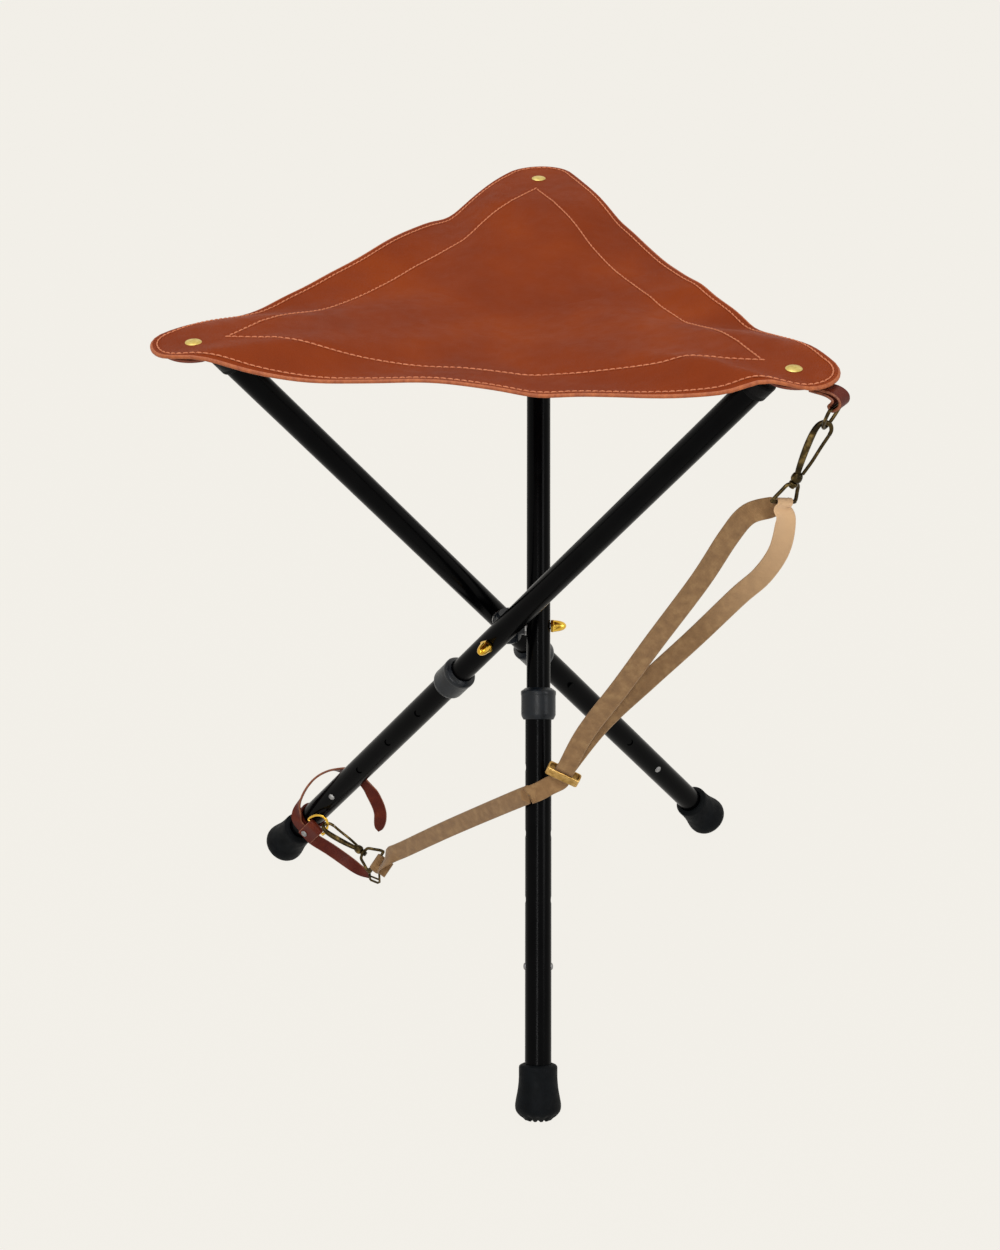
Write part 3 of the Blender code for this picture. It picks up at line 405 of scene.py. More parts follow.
def cleat(radius, height, angle):
    """Draws the sole's edge in between its cleats."""
    depth = -height - foot_top
    if depth < 0.0385 or radius < 0.004:
        return radius, height
    share = min(1.0, (depth - 0.0385) / 0.004)
    gap = max(0.0, cos(12 * angle)) ** 0.7
    return radius - 0.0007 * share * gap, height + 0.0013 * share * gap


for leg in leg_azimuths:
    bore = lower_radius + fit_gap
    shape = [(0, 0.0315), (bore, 0.0315), (bore, -0.0006), (bore + 0.0005, -0.0010), (0.0128, -0.0008),
             (0.0150, 0.0002), (0.0158, 0.0012), (0.0160, 0.0022), (0.0160, 0.0050), (0.0160, 0.0100),
             (0.0163, 0.0150), (0.0168, 0.0195), (0.0175, 0.0235), (0.0183, 0.0275), (0.0189, 0.0310),
             (0.0191, 0.0335), (0.0189, 0.0358), (0.0181, 0.0380), (0.0168, 0.0398), (0.0150, 0.0415),
             (0.0128, 0.0430), (0.0112, 0.0446), (0.0096, 0.0452), (0.0074, 0.0443), (0, 0.0440)]
    outline = [(r, -foot_top - t) for r, t in shape]
    rubber = turn_profile(outline, leg_frames[leg], [black_rubber], 72, cleat)
    for corner in rubber.vertices:
        corner.co.z = max(corner.co.z, 0.0)
    add_piece("foot_" + leg, rubber, "lower_" + leg, ["rubber_foot_" + leg], 50)

# Snap buttons
# A pair of domed steel buttons on a leaf spring locks each leg. They have a collar that stays
# inside, and stand 1.4 mm out of the holes in the lower tube.
bare_steel = finish("bare_steel", (150, 150, 152), 0.45, 1.0)
blotch(bare_steel, ((128, 128, 131), (168, 168, 167)), 300)
uneven_gloss(bare_steel, 0.38, 0.55, 500)

for leg in leg_azimuths:
    base = 0.0074
    tip = lower_radius + 0.0014
    outline = [(0, tip), (0.0010, tip - 0.00008), (0.0020, tip - 0.0003), (0.0027, tip - 0.0008),
               (0.0031, tip - 0.0015), (0.0031, base + 0.0006), (0.0035, base + 0.0006), (0.0035, base),
               (0, base)]
    for side, turn in (("outer", 90), ("inner", -90)):
        seat_at = leg_frames[leg] @ Matrix.Translation((0, 0, -button_at)) @ spin(turn, "Y")
        stud = turn_profile(outline, seat_at, [bare_steel], 24)
        add_piece("stud_%s_%s" % (side, leg), stud, "button_%s_%s" % (side, leg),
                  ["button_%s_%s" % (side, leg)])

# Hub, washers, bolts and springs
# The hub is one black moulding with three stub arms. Its bolts run through the tubes, and the
# leaf springs sit inside them, so these keep their solids and get their finishes.
for name, node in frame["nodes"].items():
    if name == "hub_block" or name.startswith("top_plug"):
        node.data.materials[0] = black_plastic
    elif name.startswith(("washer", "pivot_bolt", "leaf_spring")):
        node.data.materials[0] = bare_steel
    else:
        continue
    node.data.shade_smooth()
    node.data.set_sharp_from_angle(angle=radians(35))

# Acorn nuts
# A polished brass nut closes each bolt: a low chamfered hexagon below a long drawn dome. It is
# turned from bar, and its bore stops short of the dome's top.
polished_brass = finish("polished_brass", (226, 180, 62), 0.2, 1.0)
blotch(polished_brass, ((208, 158, 44), (236, 196, 84)), 160)
uneven_gloss(polished_brass, 0.14, 0.28, 260)
grain(polished_brass, 700, 3.0, 0.00003, 0.5)


def six_flats(radius, height, angle):
    """Presses six flats into the nut's lower part, below its dome."""
    if height > 0.0133 or radius < 0.0035:
        return radius, height
    turn = (angle % (pi / 3)) - pi / 6
    return radius * cos(pi / 6) / cos(turn), height


for leg in leg_azimuths:
    start = upper_radius + fit_gap
    dome = [(0.0, 0.0132), (0.0010, 0.0130), (0.0020, 0.0124), (0.0029, 0.0114), (0.0037, 0.0098),
            (0.0043, 0.0078), (0.0047, 0.0056), (0.0050, 0.0034), (0.0056, 0.0028), (0.0059, 0.0022),
            (0.0059, 0.0006), (0.0055, 0.0), (0.0033, 0.0), (0.0033, 0.0096), (0.0, 0.0096)]
    outline = [(r, start + t) for r, t in dome]
    nut = turn_profile(outline, plumb_frames[leg] @ along_x, [polished_brass], 48, six_flats)
    add_piece("nut_" + leg, nut, "hub", ["acorn_nut_" + leg], 28)

# Leather seat
# One 3 mm hide, cut as a round-cornered triangle, sags from its riveted corners. Pale thread runs
# inside its edge and along an inner triangle. It is made as three sectors, one to follow each leg.
corner_at = 84.1
corner_radius = 0.246
corner_round = 0.030
side_middle = 0.1495
corner_height = 0.3035
edge_height = 0.2920
middle_height = 0.2790
hide = 0.0030
stitch_inset = 0.0052
inner_line = 0.1095
# Each ripple is an azimuth and a spread in degrees, and how far it goes out and up in millimetres
ripples = [(99, 9, 0, -4.8), (84, 9, 0, -2.2), (42, 16, 0, 4.4), (20.5, 5, 0, -4.2), (9.5, 3.5, 0, 0.6),
           (357, 5, 2.2, 0), (345, 7, 0, 5.2), (332, 8, 0, 2.0), (310, 9, 0, -1.2), (288, 6, 0, 2.0),
           (264, 5, 0, -3.8), (250.5, 4.5, 3.0, 2.5), (231.5, 2.8, 0, 6.6), (217, 8, 0, 1.2),
           (194, 8, 0, -3.2), (165, 15, 0, 4.4), (146, 8, 0, 0.8), (127, 4, 0, 4.6), (120, 4, -1.6, 0)]


def smooth_share(value):
    value = min(max(value, 0.0), 1.0)
    return value * value * (3 - 2 * value)


def rippled(azimuth, which):
    """How far the edge stands out (which is 2) or up (which is 3) at an azimuth, in metres."""
    total = 0.0
    for ripple in ripples:
        aside = (azimuth - ripple[0] + 180) % 360 - 180
        total += ripple[which] / 1000 * exp(-(aside / ripple[1]) ** 2)
    return total


def seat_reach(azimuth):
    """The seat's radius at an azimuth, counted from the front leg's corner."""
    angle = abs((azimuth + 60) % 120 - 60)
    arc_end = degrees(atan2(corner_round * sin(pi / 3), corner_radius + corner_round * cos(pi / 3)))
    if angle <= arc_end:
        aside = corner_radius * sin(radians(angle))
        cut = corner_radius * cos(radians(angle)) + sqrt(corner_round ** 2 - aside ** 2)
    else:
        straight = corner_radius * cos(pi / 3) + corner_round
        bow = (straight - side_middle) * (1 - min(1.0, (60 - angle) / 40) ** 2)
        cut = (straight - bow) / cos(radians(60 - angle))
    return cut + rippled(azimuth, 2)


def seat_inset(azimuth, inset):
    """The radius of a line that keeps one distance from the edge, also where the edge runs slantwise."""
    reach = seat_reach(azimuth)
    slope = (seat_reach(azimuth + 0.5) - seat_reach(azimuth - 0.5)) / (reach * radians(1.0))
    return reach - inset * sqrt(1 + slope * slope)


def seat_height(radius, azimuth):
    """The seat's top above the pivots: a soft ridge runs to each corner, and the sides hang."""
    def rise(r):
        return sqrt(r * r + 0.030 ** 2) - 0.030
    angle = abs((azimuth + 60) % 120 - 60)
    share = min(radius / seat_reach(azimuth), 1.0)
    ridge = middle_height + (corner_height - middle_height) * min(1.0, rise(radius) / rise(0.190))
    side = middle_height + (edge_height - middle_height) * share ** 2.4
    aside = radius * sin(radians(angle))
    weight = 1 - smooth_share((aside - 0.024) / 0.056)
    return side + (ridge - side) * weight + rippled(azimuth, 3) * smooth_share((share - 0.5) / 0.5)


def seat_point(radius, azimuth, depth):
    """A point of the hide, depth below its top face."""
    turn = radians(corner_at + azimuth)
    x, y = radius * cos(turn), radius * sin(turn)
    calm = smooth_share((0.235 - radius) / 0.08) * smooth_share((seat_reach(azimuth) - radius) / 0.03)
    wave = 0.0009 * noise(Vector((x * 22, y * 22, 0.5))) * calm
    return hub + Vector((x, y, seat_height(radius, azimuth) - depth + wave))


def pebbled(made, coordinates, strength=1.0):
    """Leather grain: shallow pebbles about a millimetre across, with fine creases between them."""
    tree = made.node_tree
    where = tree.nodes.new("ShaderNodeTexCoord")
    cells = set_sockets(tree.nodes.new("ShaderNodeTexVoronoi"), {"Scale": 800})
    tree.links.new(where.outputs[coordinates], cells.inputs["Vector"])
    grain(made, 2600, 4.0, 0.00010, 0.35 * strength, coordinates)
    grain(made, 160, 6.0, 0.0006, 0.30 * strength, coordinates)
    relief(made, cells.outputs["Distance"], 0.00018, 0.55 * strength)


saddle_leather = finish("saddle_leather", (131, 53, 18), 0.6, specular=0.08)
blotch(saddle_leather, ((120, 47, 17), (132, 53, 17), (146, 61, 16)), 11, (0.25, 0.75), 3.0, "UV")
uneven_gloss(saddle_leather, 0.52, 0.66, 90, "UV")
pebbled(saddle_leather, "UV")

cut_edge = finish("burnished_edge", (170, 84, 38), 0.55)
blotch(cut_edge, ((150, 70, 30), (190, 104, 54)), 240, (0.3, 0.7), 6.0, "UV")
grain(cut_edge, 1800, 4.0, 0.00012, 0.6, "UV")

flesh_side = finish("leather_flesh_side", (118, 66, 38), 0.85)
blotch(flesh_side, ((98, 54, 31), (134, 80, 48)), 70, (0.3, 0.7), 8.0, "UV")
grain(flesh_side, 1500, 6.0, 0.0003, 0.7, "UV")

pale_thread = finish("pale_thread", (205, 120, 80), 0.7)
blotch(pale_thread, ((188, 104, 66), (218, 136, 94)), 900)
grain(pale_thread, 2500, 2.0, 0.00012, 0.8)


stitch_length = 0.0044
stitch_pitch = 0.0048
stitch_radius = 0.00064


def add_stitches(shape, line, slot):
    """Lays short stitches along a line of points, each a bead that is pulled down at its ends."""
    up = Vector((0, 0, 1))
    walked = 0.0
    for here, there in zip(line, line[1:]):
        step = (there - here).length
        while walked <= step:
            at = here.lerp(there, walked / step)
            along = (there - here).normalized()
            side = up.cross(along).normalized()
            rings = []
            for share in (-0.5, -0.36, -0.12, 0.12, 0.36, 0.5):
                swell = sqrt(max(0.0, 1 - (2 * share) ** 2)) * 0.55 + 0.45
                centre = at + along * (share * stitch_length) + up * (stitch_radius * (swell - 0.55))
                rings.append([shape.verts.new(centre + (side * cos(turn) + up * sin(turn))
                                              * stitch_radius * swell)
                              for turn in [pi * k / 3 for k in range(6)]])
            for one, two in zip(rings, rings[1:]):
                for k in range(6):
                    face = shape.faces.new((one[k], one[(k + 1) % 6], two[(k + 1) % 6], two[k]))
                    face.material_index = slot
            for cap in (rings[0][::-1], rings[-1]):
                shape.faces.new(cap).material_index = slot
            walked += stitch_pitch
        walked -= step


def level_way(azimuth):
    """The level direction at an azimuth, counted from the front leg's corner."""
    turn = radians(corner_at + azimuth)
    return Vector((cos(turn), sin(turn), 0))


def groove(half):
    """The dip that a row of stitches pulls into the hide: steps across it, and how deep it is there."""
    return (-half, 0), (-0.0007, 0.00025), (0, 0.0004), (0.0007, 0.00025), (half, 0)


# The rounded edge of the hide: how far back from the outline, and how deep
edge_round = [(0.0030, 0.0), (0.0018, 0.00005), (0.0007, 0.0003), (0.0001, 0.0009), (0, 0.0015),
              (0.0001, 0.0022), (0.0006, 0.0028), (0.0016, hide), (0.008, hide)]
seat_columns = 76
for leg, azimuth in leg_azimuths.items():
    turns = [60 * copysign(abs(u) ** 1.3, u) for u in
             [2 * k / seat_columns - 1 for k in range(seat_columns + 1)]]
    shape = bmesh.new()
    flat = shape.loops.layers.uv.new("flat")
    columns = []
    for turn in turns:
        reach = seat_reach(azimuth + turn)
        sewn = inner_line / cos(radians(60 - abs(turn)))
        inset = reach - seat_inset(azimuth + turn, stitch_inset)
        rings = [(sewn * share, 0.0) for share in (0.12, 0.25, 0.38, 0.50, 0.61, 0.71, 0.80, 0.88, 0.95)]
        rings += [(sewn + step, dip) for step, dip in groove(0.0016)]
        rings += [(sewn + (reach - inset - sewn) * share, 0.0)
                  for share in (0.14, 0.28, 0.42, 0.56, 0.70, 0.84, 0.94)]
        rings += [(reach - inset + step, dip) for step, dip in groove(0.0014)]
        rings += [(reach - back, depth) for back, depth in edge_round]
        rings += [(reach * share, hide) for share in (0.88, 0.76, 0.62, 0.48, 0.34, 0.18)]
        columns.append([shape.verts.new(seat_point(r, azimuth + turn, d)) for r, d in rings])
    top = shape.verts.new(seat_point(0.0, azimuth, 0.0))
    under = shape.verts.new(seat_point(0.0, azimuth, hide))
    edge_from, under_from, count = len(columns[0]) - 14, len(columns[0]) - 9, len(columns[0])
    for one, two in zip(columns, columns[1:]):
        shape.faces.new((top, one[0], two[0]))
        shape.faces.new((one[-1], under, two[-1])).material_index = 2
        for k in range(count - 1):
            face = shape.faces.new((one[k], one[k + 1], two[k + 1], two[k]))
            face.material_index = 0 if k < edge_from else (1 if k < under_from else 2)
    shape.faces.new([top] + columns[0] + [under]).material_index = 1
    shape.faces.new(([top] + columns[-1] + [under])[::-1]).material_index = 1
    seams = ([], [])
    for turn in [k / 4 for k in range(-240, 241)]:
        sewn = inner_line / cos(radians(60 - abs(turn)))
        for seam, radius in zip(seams, (sewn, seat_inset(azimuth + turn, stitch_inset))):
            seam.append(seat_point(radius, azimuth + turn, 0.0001))
    for seam in seams:
        add_stitches(shape, seam, 3)
    for face in shape.faces:
        for loop in face.loops:
            loop[flat].uv = (loop.vert.co.x, loop.vert.co.y)
    mesh = mesh_from(shape, Matrix(), (saddle_leather, cut_edge, flesh_side, pale_thread))
    sector = add_piece("seat_" + leg, mesh, None, ["seat_leather"], 60)
    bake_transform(sector)

# Corner pockets
# Under each corner a second piece of the same hide is riveted to the seat, narrow towards the
# middle, and a thin black leather cup on it takes the leg's end. The cup's mouth is hemmed.
rivet_at = 0.244
seat_under = corner_height - hide
patch_thick = 0.0025
pocket_wall = 0.0012
pocket_end = 0.3672
mouth = pocket_end - 0.014

black_leather = finish("black_leather", (5, 5, 6), 0.6, specular=0.1)
blotch(black_leather, ((4, 4, 5), (9, 9, 10)), 120)
uneven_gloss(black_leather, 0.42, 0.62, 200)
pebbled(black_leather, "Object", 0.8)

leather_patch = finish("leather_patch", (128, 56, 30), 0.55)
blotch(leather_patch, ((108, 44, 24), (148, 68, 36)), 60)
pebbled(leather_patch, "Object", 0.8)

for leg in leg_azimuths:
    bore = upper_radius + fit_gap
    out = bore + pocket_wall
    outline = [(0, pocket_end), (out - 0.003, pocket_end), (out - 0.0010, pocket_end - 0.0004),
               (out, pocket_end - 0.0016), (out, mouth + 0.0042), (out - 0.0003, mouth + 0.0037),
               (out - 0.0003, mouth + 0.0032), (out, mouth + 0.0027), (out, mouth + 0.0006),
               (out - 0.0006, mouth), (bore + 0.0004, mouth), (bore, mouth + 0.0005),
               (bore, pocket_end - pocket_wall), (0, pocket_end - pocket_wall)]
    cup = turn_profile(outline, leg_frames[leg], [black_leather], 40)
    add_piece("pocket_cup_" + leg, cup, "upper_" + leg, ["corner_pocket_" + leg])
    half = 0.0225
    tail = 0.0135
    border = [(-0.032, -tail), (0, -half)]
    for turn in range(8, 180, 8):
        border.append((half * sin(radians(turn)), -half * cos(radians(turn))))
    border += [(0, half), (-0.032, tail)]
    shape = bmesh.new()
    levels = [(0.0, 0.0006), (0.0004, 0.0), (0.0021, 0.0), (patch_thick, 0.0006)]
    rings = []
    for drop, inset in levels:
        ring = []
        for x, y in border:
            reach = hypot(x, y)
            ring.append(shape.verts.new(Vector((x * (1 - inset / reach), y * (1 - inset / reach),
                                                seat_under - fit_gap - drop))))
        rings.append(ring)
    skin(shape, rings)
    shape.faces.new(rings[0])
    shape.faces.new(rings[-1][::-1])
    bmesh.ops.recalc_face_normals(shape, faces=shape.faces)
    azimuth = leg_azimuths[leg]
    place = Matrix.Translation(hub + level_way(azimuth) * rivet_at) @ spin(azimuth + corner_at, "Z")
    mesh = mesh_from(shape, place, [leather_patch])
    add_piece("pocket_patch_" + leg, mesh, "upper_" + leg, ["corner_pocket_" + leg], 50)

# Corner rivets
# A low domed brass rivet, dulled by wear, holds each corner. It goes through the hide and the
# pocket's patch, with a flat burr underneath.
worn_brass = finish("worn_brass", (214, 192, 112), 0.42, 0.85)
blotch(worn_brass, ((200, 174, 92), (224, 204, 128)), 260)
uneven_gloss(worn_brass, 0.36, 0.50, 300)
grain(worn_brass, 900, 3.0, 0.00004, 0.5)

for leg in leg_azimuths:
    foot = Matrix.Translation(hub + level_way(leg_azimuths[leg]) * rivet_at)
    over = corner_height + 0.0002
    under = seat_under - fit_gap - patch_thick - fit_gap
    outline = [(0, over + 0.0014), (0.0018, over + 0.00134), (0.0034, over + 0.00115),
               (0.0047, over + 0.0008), (0.0056, over + 0.00045), (0.0060, over + 0.0001),
               (0.0060, over), (0.0020, over), (0.0020, under), (0.0042, under),
               (0.0045, under - 0.0003), (0.0043, under - 0.0012), (0, under - 0.0012)]
    head = turn_profile(outline, foot, [worn_brass], 40)
    add_piece("rivet_" + leg, head, "upper_" + leg, ["corner_rivet_" + leg], 40)

# Strap loop
# A short leather strap comes out from under the back right corner, turns round the ring's bar
# and is sewn to itself.
ring_wire = 0.0013
ring_half = 0.0100
ring_depth = 0.0195
loop_width = 0.014
loop_thick = 0.0020


def through(points, pieces):
    """A smooth path through given points, with some pieces to each span."""
    knots = [Vector(p) for p in points]
    knots = [2 * knots[0] - knots[1]] + knots + [2 * knots[-1] - knots[-2]]
    route = []
    for a, b, c, d in zip(knots, knots[1:], knots[2:], knots[3:]):
        for step in range(pieces):
            t = step / pieces
            bend = (2 * a - 5 * b + 4 * c - d) * t * t + (3 * b - a - 3 * c + d) * t ** 3
            route.append(0.5 * (2 * b + (c - a) * t + bend))
    return route + [knots[-2]]


def towards(way, goal):
    """A direction or its opposite, whichever is nearer to the goal."""
    return -way if way.dot(goal) < 0 else way


def way_at(route, i):
    """The direction of a path at its point i."""
    return (route[min(i + 1, len(route) - 1)] - route[max(i - 1, 0)]).normalized()


def flat_strap(route, sides, width, thick, place, materials, tip=0.0):
    """A flat strap whose cut edges have the last of its materials. Its first end tapers over tip."""
    shape = bmesh.new()
    layer = shape.loops.layers.uv.new("flat")
    keep = {}
    rings = []
    walked = 0.0
    rim = min(0.5 * thick, 0.0006)
    section = [(-0.5, 0), (-0.5, -1), (-0.25, -1), (0, -1), (0.25, -1), (0.5, -1), (0.5, 0), (0.5, 1),
               (0.25, 1), (0, 1), (-0.25, 1), (-0.5, 1)]
    for i, at in enumerate(route):
        if i:
            walked += (at - route[i - 1]).length
        along = way_at(route, i)
        side = (sides[i] - along * sides[i].dot(along)).normalized()
        up = side.cross(along)
        full = width if walked >= tip else width * (0.12 + 0.88 * sqrt(1 - (1 - walked / tip) ** 2))
        ring = []
        for u, v in section:
            inward = rim if abs(u) == 0.5 and v else 0.0
            across = u * full - copysign(inward, u)
            raised = v * thick / 2
            vert = shape.verts.new(at + side * across + up * raised)
            keep[vert] = (walked, u * full)
            ring.append(vert)
        rings.append(ring)
    cut = len(materials) - 1
    skin(shape, rings, [cut if k in (0, 5, 6, 11) else 0 for k in range(len(section))])
    for cap in (rings[0][::-1], rings[-1]):
        shape.faces.new(cap).material_index = cut
    for face in shape.faces:
        for loop in face.loops:
            loop[layer].uv = keep[loop.vert]
    bmesh.ops.recalc_face_normals(shape, faces=shape.faces)
    return mesh_from(shape, place, materials)


strap_leather = finish("strap_leather", (92, 32, 20), 0.5, specular=0.15)
blotch(strap_leather, ((80, 26, 18), (94, 33, 20), (112, 46, 24)), 70, (0.28, 0.75), 6.0, "UV")
uneven_gloss(strap_leather, 0.34, 0.52, 150, "UV")
pebbled(strap_leather, "UV", 0.6)
strap_edge = finish("strap_edge", (140, 78, 46), 0.5)
blotch(strap_edge, ((110, 56, 32), (160, 92, 58)), 300, (0.3, 0.7), 5.0, "UV")

corner_frame = Matrix.Translation(hub) @ spin(corner_at - 120, "Z")
ply = seat_under - 2 * fit_gap - patch_thick - loop_thick / 2
loop_points = [(0.252, ply), (0.268, ply), (0.2770, ply - 0.0002), (0.2828, ply - 0.0030),
               (0.2840, ply - 0.0070), (0.2822, ply - 0.0105), (0.2785, ply - 0.0128),
               (0.2757, ply - 0.0102), (0.2776, ply - 0.0072), (0.2780, ply - 0.0046),
               (0.2720, ply - 0.0026), (0.2600, ply - 0.0025)]
route = through([(r, 0, z) for r, z in loop_points], 5)
sewn_loop = flat_strap(route, [Vector((0, 1, 0))] * len(route), loop_width, loop_thick, corner_frame,
                       [strap_leather, strap_edge])
add_piece("strap_tab", sewn_loop, "upper_left", ["strap_loop"], 50)

# D-rings
# Two rings bent from brass wire, each with a straight bar. The dark one hangs in the strap loop,
# and the bright one in the ankle belt's tab.
bar = Vector((0.2785, 0, ply - 0.0138 + loop_thick / 2 + ring_wire + fit_gap))
upper_ring = corner_frame @ Matrix.Translation(bar) @ spin(20, "Y")
belt_bar = Vector((0.0150, 0.0100, -0.3270))
upside_down = axes((-1, 0, 0), (0, 1, 0), (0, 0, -1))
belt_ring = leg_frames["left"] @ Matrix.Translation(belt_bar) @ upside_down


def bent_wire(points, radii, place, materials, closed=False):
    """A round wire through points, whose radius may change along it."""
    curve = bpy.data.curves.new("guide", "CURVE")
    curve.dimensions = "3D"
    curve.bevel_depth = 1.0
    curve.bevel_resolution = 6
    curve.use_fill_caps = True
    line = curve.splines.new("POLY")
    line.points.add(len(points) - 1)
    for point, at, radius in zip(line.points, points, radii):
        point.co = (*at, 1.0)
        point.radius = radius
    line.use_cyclic_u = closed
    return dress(settle(put("guide", curve)), place, materials)


aged_brass = finish("aged_brass", (92, 78, 44), 0.34, 1.0)
blotch(aged_brass, ((42, 36, 24), (74, 61, 36), (176, 148, 90)), 120, (0.32, 0.78), 6.0)
uneven_gloss(aged_brass, 0.24, 0.5, 320)
grain(aged_brass, 900, 4.0, 0.00006, 0.6)

ring_turns = [pi * k / 28 for k in range(29)]
ring_points = [(0, ring_half * cos(a), -ring_depth * sin(a)) for a in ring_turns]
for name, place, body, node, made, slot in (
        ("upper_dee", upper_ring, "ring_upper", "d_ring_upper", aged_brass, "antique_brass"),
        ("belt_dee", belt_ring, "ring_belt", "d_ring_belt", polished_brass, "brass")):
    dee = bent_wire(ring_points, [ring_wire] * len(ring_points), place, [made], True)
    add_piece(name, dee, body, [node], 60)

# Snap hooks
# Cast hooks with a thick back, a thin sprung gate in front and a swivel eye below. The eye's
# collar turns on a headed pin, and its flat bar carries the webbing.
hook_wire = 0.0017
hook_neck = 0.036
hook_shoulder = 0.0430
hook_spread = 0.0056
gate_wire = 0.00125
eye_wire = 0.0014
eye_half = 0.0112
eye_bar = 0.0606
ring_foot = upper_ring @ Vector((0, 0, -ring_depth))
upper_hook = Matrix.Translation(ring_foot) @ spin(22.5, "Y")
bow_turn = radians(42)
touch = belt_bar + Vector((0, ring_half * cos(bow_turn), ring_depth * sin(bow_turn)))
pull = Vector((0, 0.956, 0.293)).normalized()
hook_x = Vector((-1, 0, 0))
lower_hook = leg_frames["left"] @ Matrix.Translation(touch) @ axes(hook_x, (-pull).cross(hook_x), -pull)
hooks = {"upper": upper_hook, "lower": lower_hook}
eye_turns = {"upper": 33.0, "lower": -47.7}
longer = {"upper": 0.0030, "lower": -0.0020}

arch = ring_wire + hook_wire + 2 * fit_gap
back = [(0, -1.08), (-0.32, -0.92), (-0.75, -0.56), (-1.0, -0.22)]
bow = [(-0.93, -0.28), (-0.52, 0.75), (0, 1.0), (0.52, 0.75), (0.90, -0.14)]
for end, place in hooks.items():
    neck = hook_neck + longer[end]
    hook_points = [(x * hook_spread, 0, z * neck) for x, z in back]
    hook_points += [(x * hook_spread, 0, z * arch) for x, z in bow] + [(0.96 * hook_spread, 0, -0.0040)]
    route = through(hook_points, 7)
    count = len(route) - 1
    radii = [hook_wire * (1.12 + 0.38 * exp(-((k / count - 0.26) / 0.17) ** 2)
                          - 0.30 * smooth_share((k / count - 0.55) / 0.4)) for k in range(count + 1)]
    body = bent_wire(route, radii, place, [aged_brass])
    add_piece("hook_back_" + end, body, "hook_" + end, ["hook_" + end], 50)
    knuckle = [(0, 0.0078), (0.0020, 0.0076), (0.0030, 0.0068), (0.0038, 0.0052), (0.0041, 0.0035),
               (0.0040, 0.0018), (0.0034, 0.0006), (0.0024, 0), (0.0012, 0),
               (0.0012, -0.0040), (0.0019, -0.0040), (0.0022, -0.0044), (0.0020, -0.0051), (0, -0.0052)]
    knuckle = [(r, z - hook_shoulder - longer[end]) for r, z in knuckle]
    boss = turn_profile(knuckle, place, [aged_brass], 28)
    add_piece("hook_knuckle_" + end, boss, "hook_" + end, ["hook_" + end], 40)
    foot = Vector((0.0026, 0, -neck + 1.5 * fit_gap))
    tip = Vector((0.96 * hook_spread, 0, -0.0046))
    spans = through([foot, foot.lerp(tip, 0.35) + Vector((0.0004, 0, 0)), foot.lerp(tip, 0.7), tip], 5)
    wire = bent_wire(spans, [gate_wire] * len(spans), place, [aged_brass])
    add_piece("gate_wire_" + end, wire, "gate_" + end, ["gate_" + end], 50)
    turned = place @ spin(eye_turns[end], "Z")
    high = -hook_shoulder - longer[end] - fit_gap
    low = -eye_bar - longer[end]
    collar = [(0.0017, high), (0.0026, high), (0.0032, high - 0.0005), (0.0034, high - 0.0013),
              (0.0032, high - 0.0026), (0.0026, high - 0.0034), (0.0017, high - 0.0034)]
    sleeve = turn_profile(collar, turned, [aged_brass], 28)
    add_piece("eye_collar_" + end, sleeve, "eye_" + end, ["eye_" + end], 40)
    start = high - 0.0017
    limb = [(0.0026, start), (0.0058, start - 0.0014), (0.0082, start - 0.0062), (eye_half, low + 0.0030),
            (eye_half, low + 0.0012), (eye_half - 0.0012, low)]
    loop = [(-x, 0, z) for x, z in limb] + [(x, 0, z) for x, z in limb[::-1]]
    route = through(loop, 5)
    stirrup = bent_wire(route, [eye_wire] * len(route), turned, [aged_brass])
    add_piece("eye_stirrup_" + end, stirrup, "eye_" + end, ["eye_" + end], 50)

# Webbing strap
# 15 mm cotton webbing, woven in fine diagonal ribs. It starts at the lower eye, bends round the
# front leg, runs up through the slider to the upper eye, and comes back down to end in the slider.
webbing_width = 0.0155
webbing_thick = 0.0015
facing = Vector((-0.010, -0.840, 0.543)).normalized()
slide_way = Vector((0.300, -0.230, 0.926)).normalized()
slide_up = (facing - slide_way * facing.dot(slide_way)).normalized()
slide_at = Vector((0.0452, -0.0936, -0.0859))
front_band = [(0.0626, -0.1002, -0.0383), (0.0889, -0.1143, 0.0168), (0.1131, -0.1279, 0.0700),
              (0.1422, -0.1440, 0.1327), (0.1596, -0.1552, 0.1768), (0.1720, -0.1600, 0.1985)]
rear_band = [(0.1985, -0.1610, 0.1930), (0.1970, -0.1540, 0.1651), (0.1873, -0.1462, 0.1390),
             (0.1717, -0.1390, 0.1162), (0.1424, -0.1270, 0.0701), (0.1106, -0.1135, 0.0227),
             (0.0750, -0.0985, -0.0315)]
leg_bend = [(0.0095, -0.0165, -0.1340), (0.0010, -0.0150, -0.1385), (-0.0075, -0.0130, -0.1420),
            (-0.0145, -0.0078, -0.1440)]


def woven(made, coordinates):
    """Diagonal ribs of a twill, with the single threads across them."""
    tree = made.node_tree
    where = tree.nodes.new("ShaderNodeTexCoord")
    for direction, scale, strength in (("DIAGONAL", 430, 0.6), ("Y", 560, 0.3)):
        ribs = set_sockets(tree.nodes.new("ShaderNodeTexWave"),
                           {"Scale": scale, "Distortion": 0.6, "Detail": 1.0})
        ribs.bands_direction = direction
        tree.links.new(where.outputs[coordinates], ribs.inputs["Vector"])
        relief(made, ribs.outputs["Fac"], 0.00022, strength)


khaki = finish("khaki_webbing", (146, 110, 68), 0.82)
blotch(khaki, ((134, 99, 60), (148, 111, 69), (166, 129, 84)), 130, (0.3, 0.7), 7.0, "UV")
woven(khaki, "UV")
set_sockets(shader_of(khaki), {"Sheen Weight": 0.25, "Sheen Roughness": 0.5})

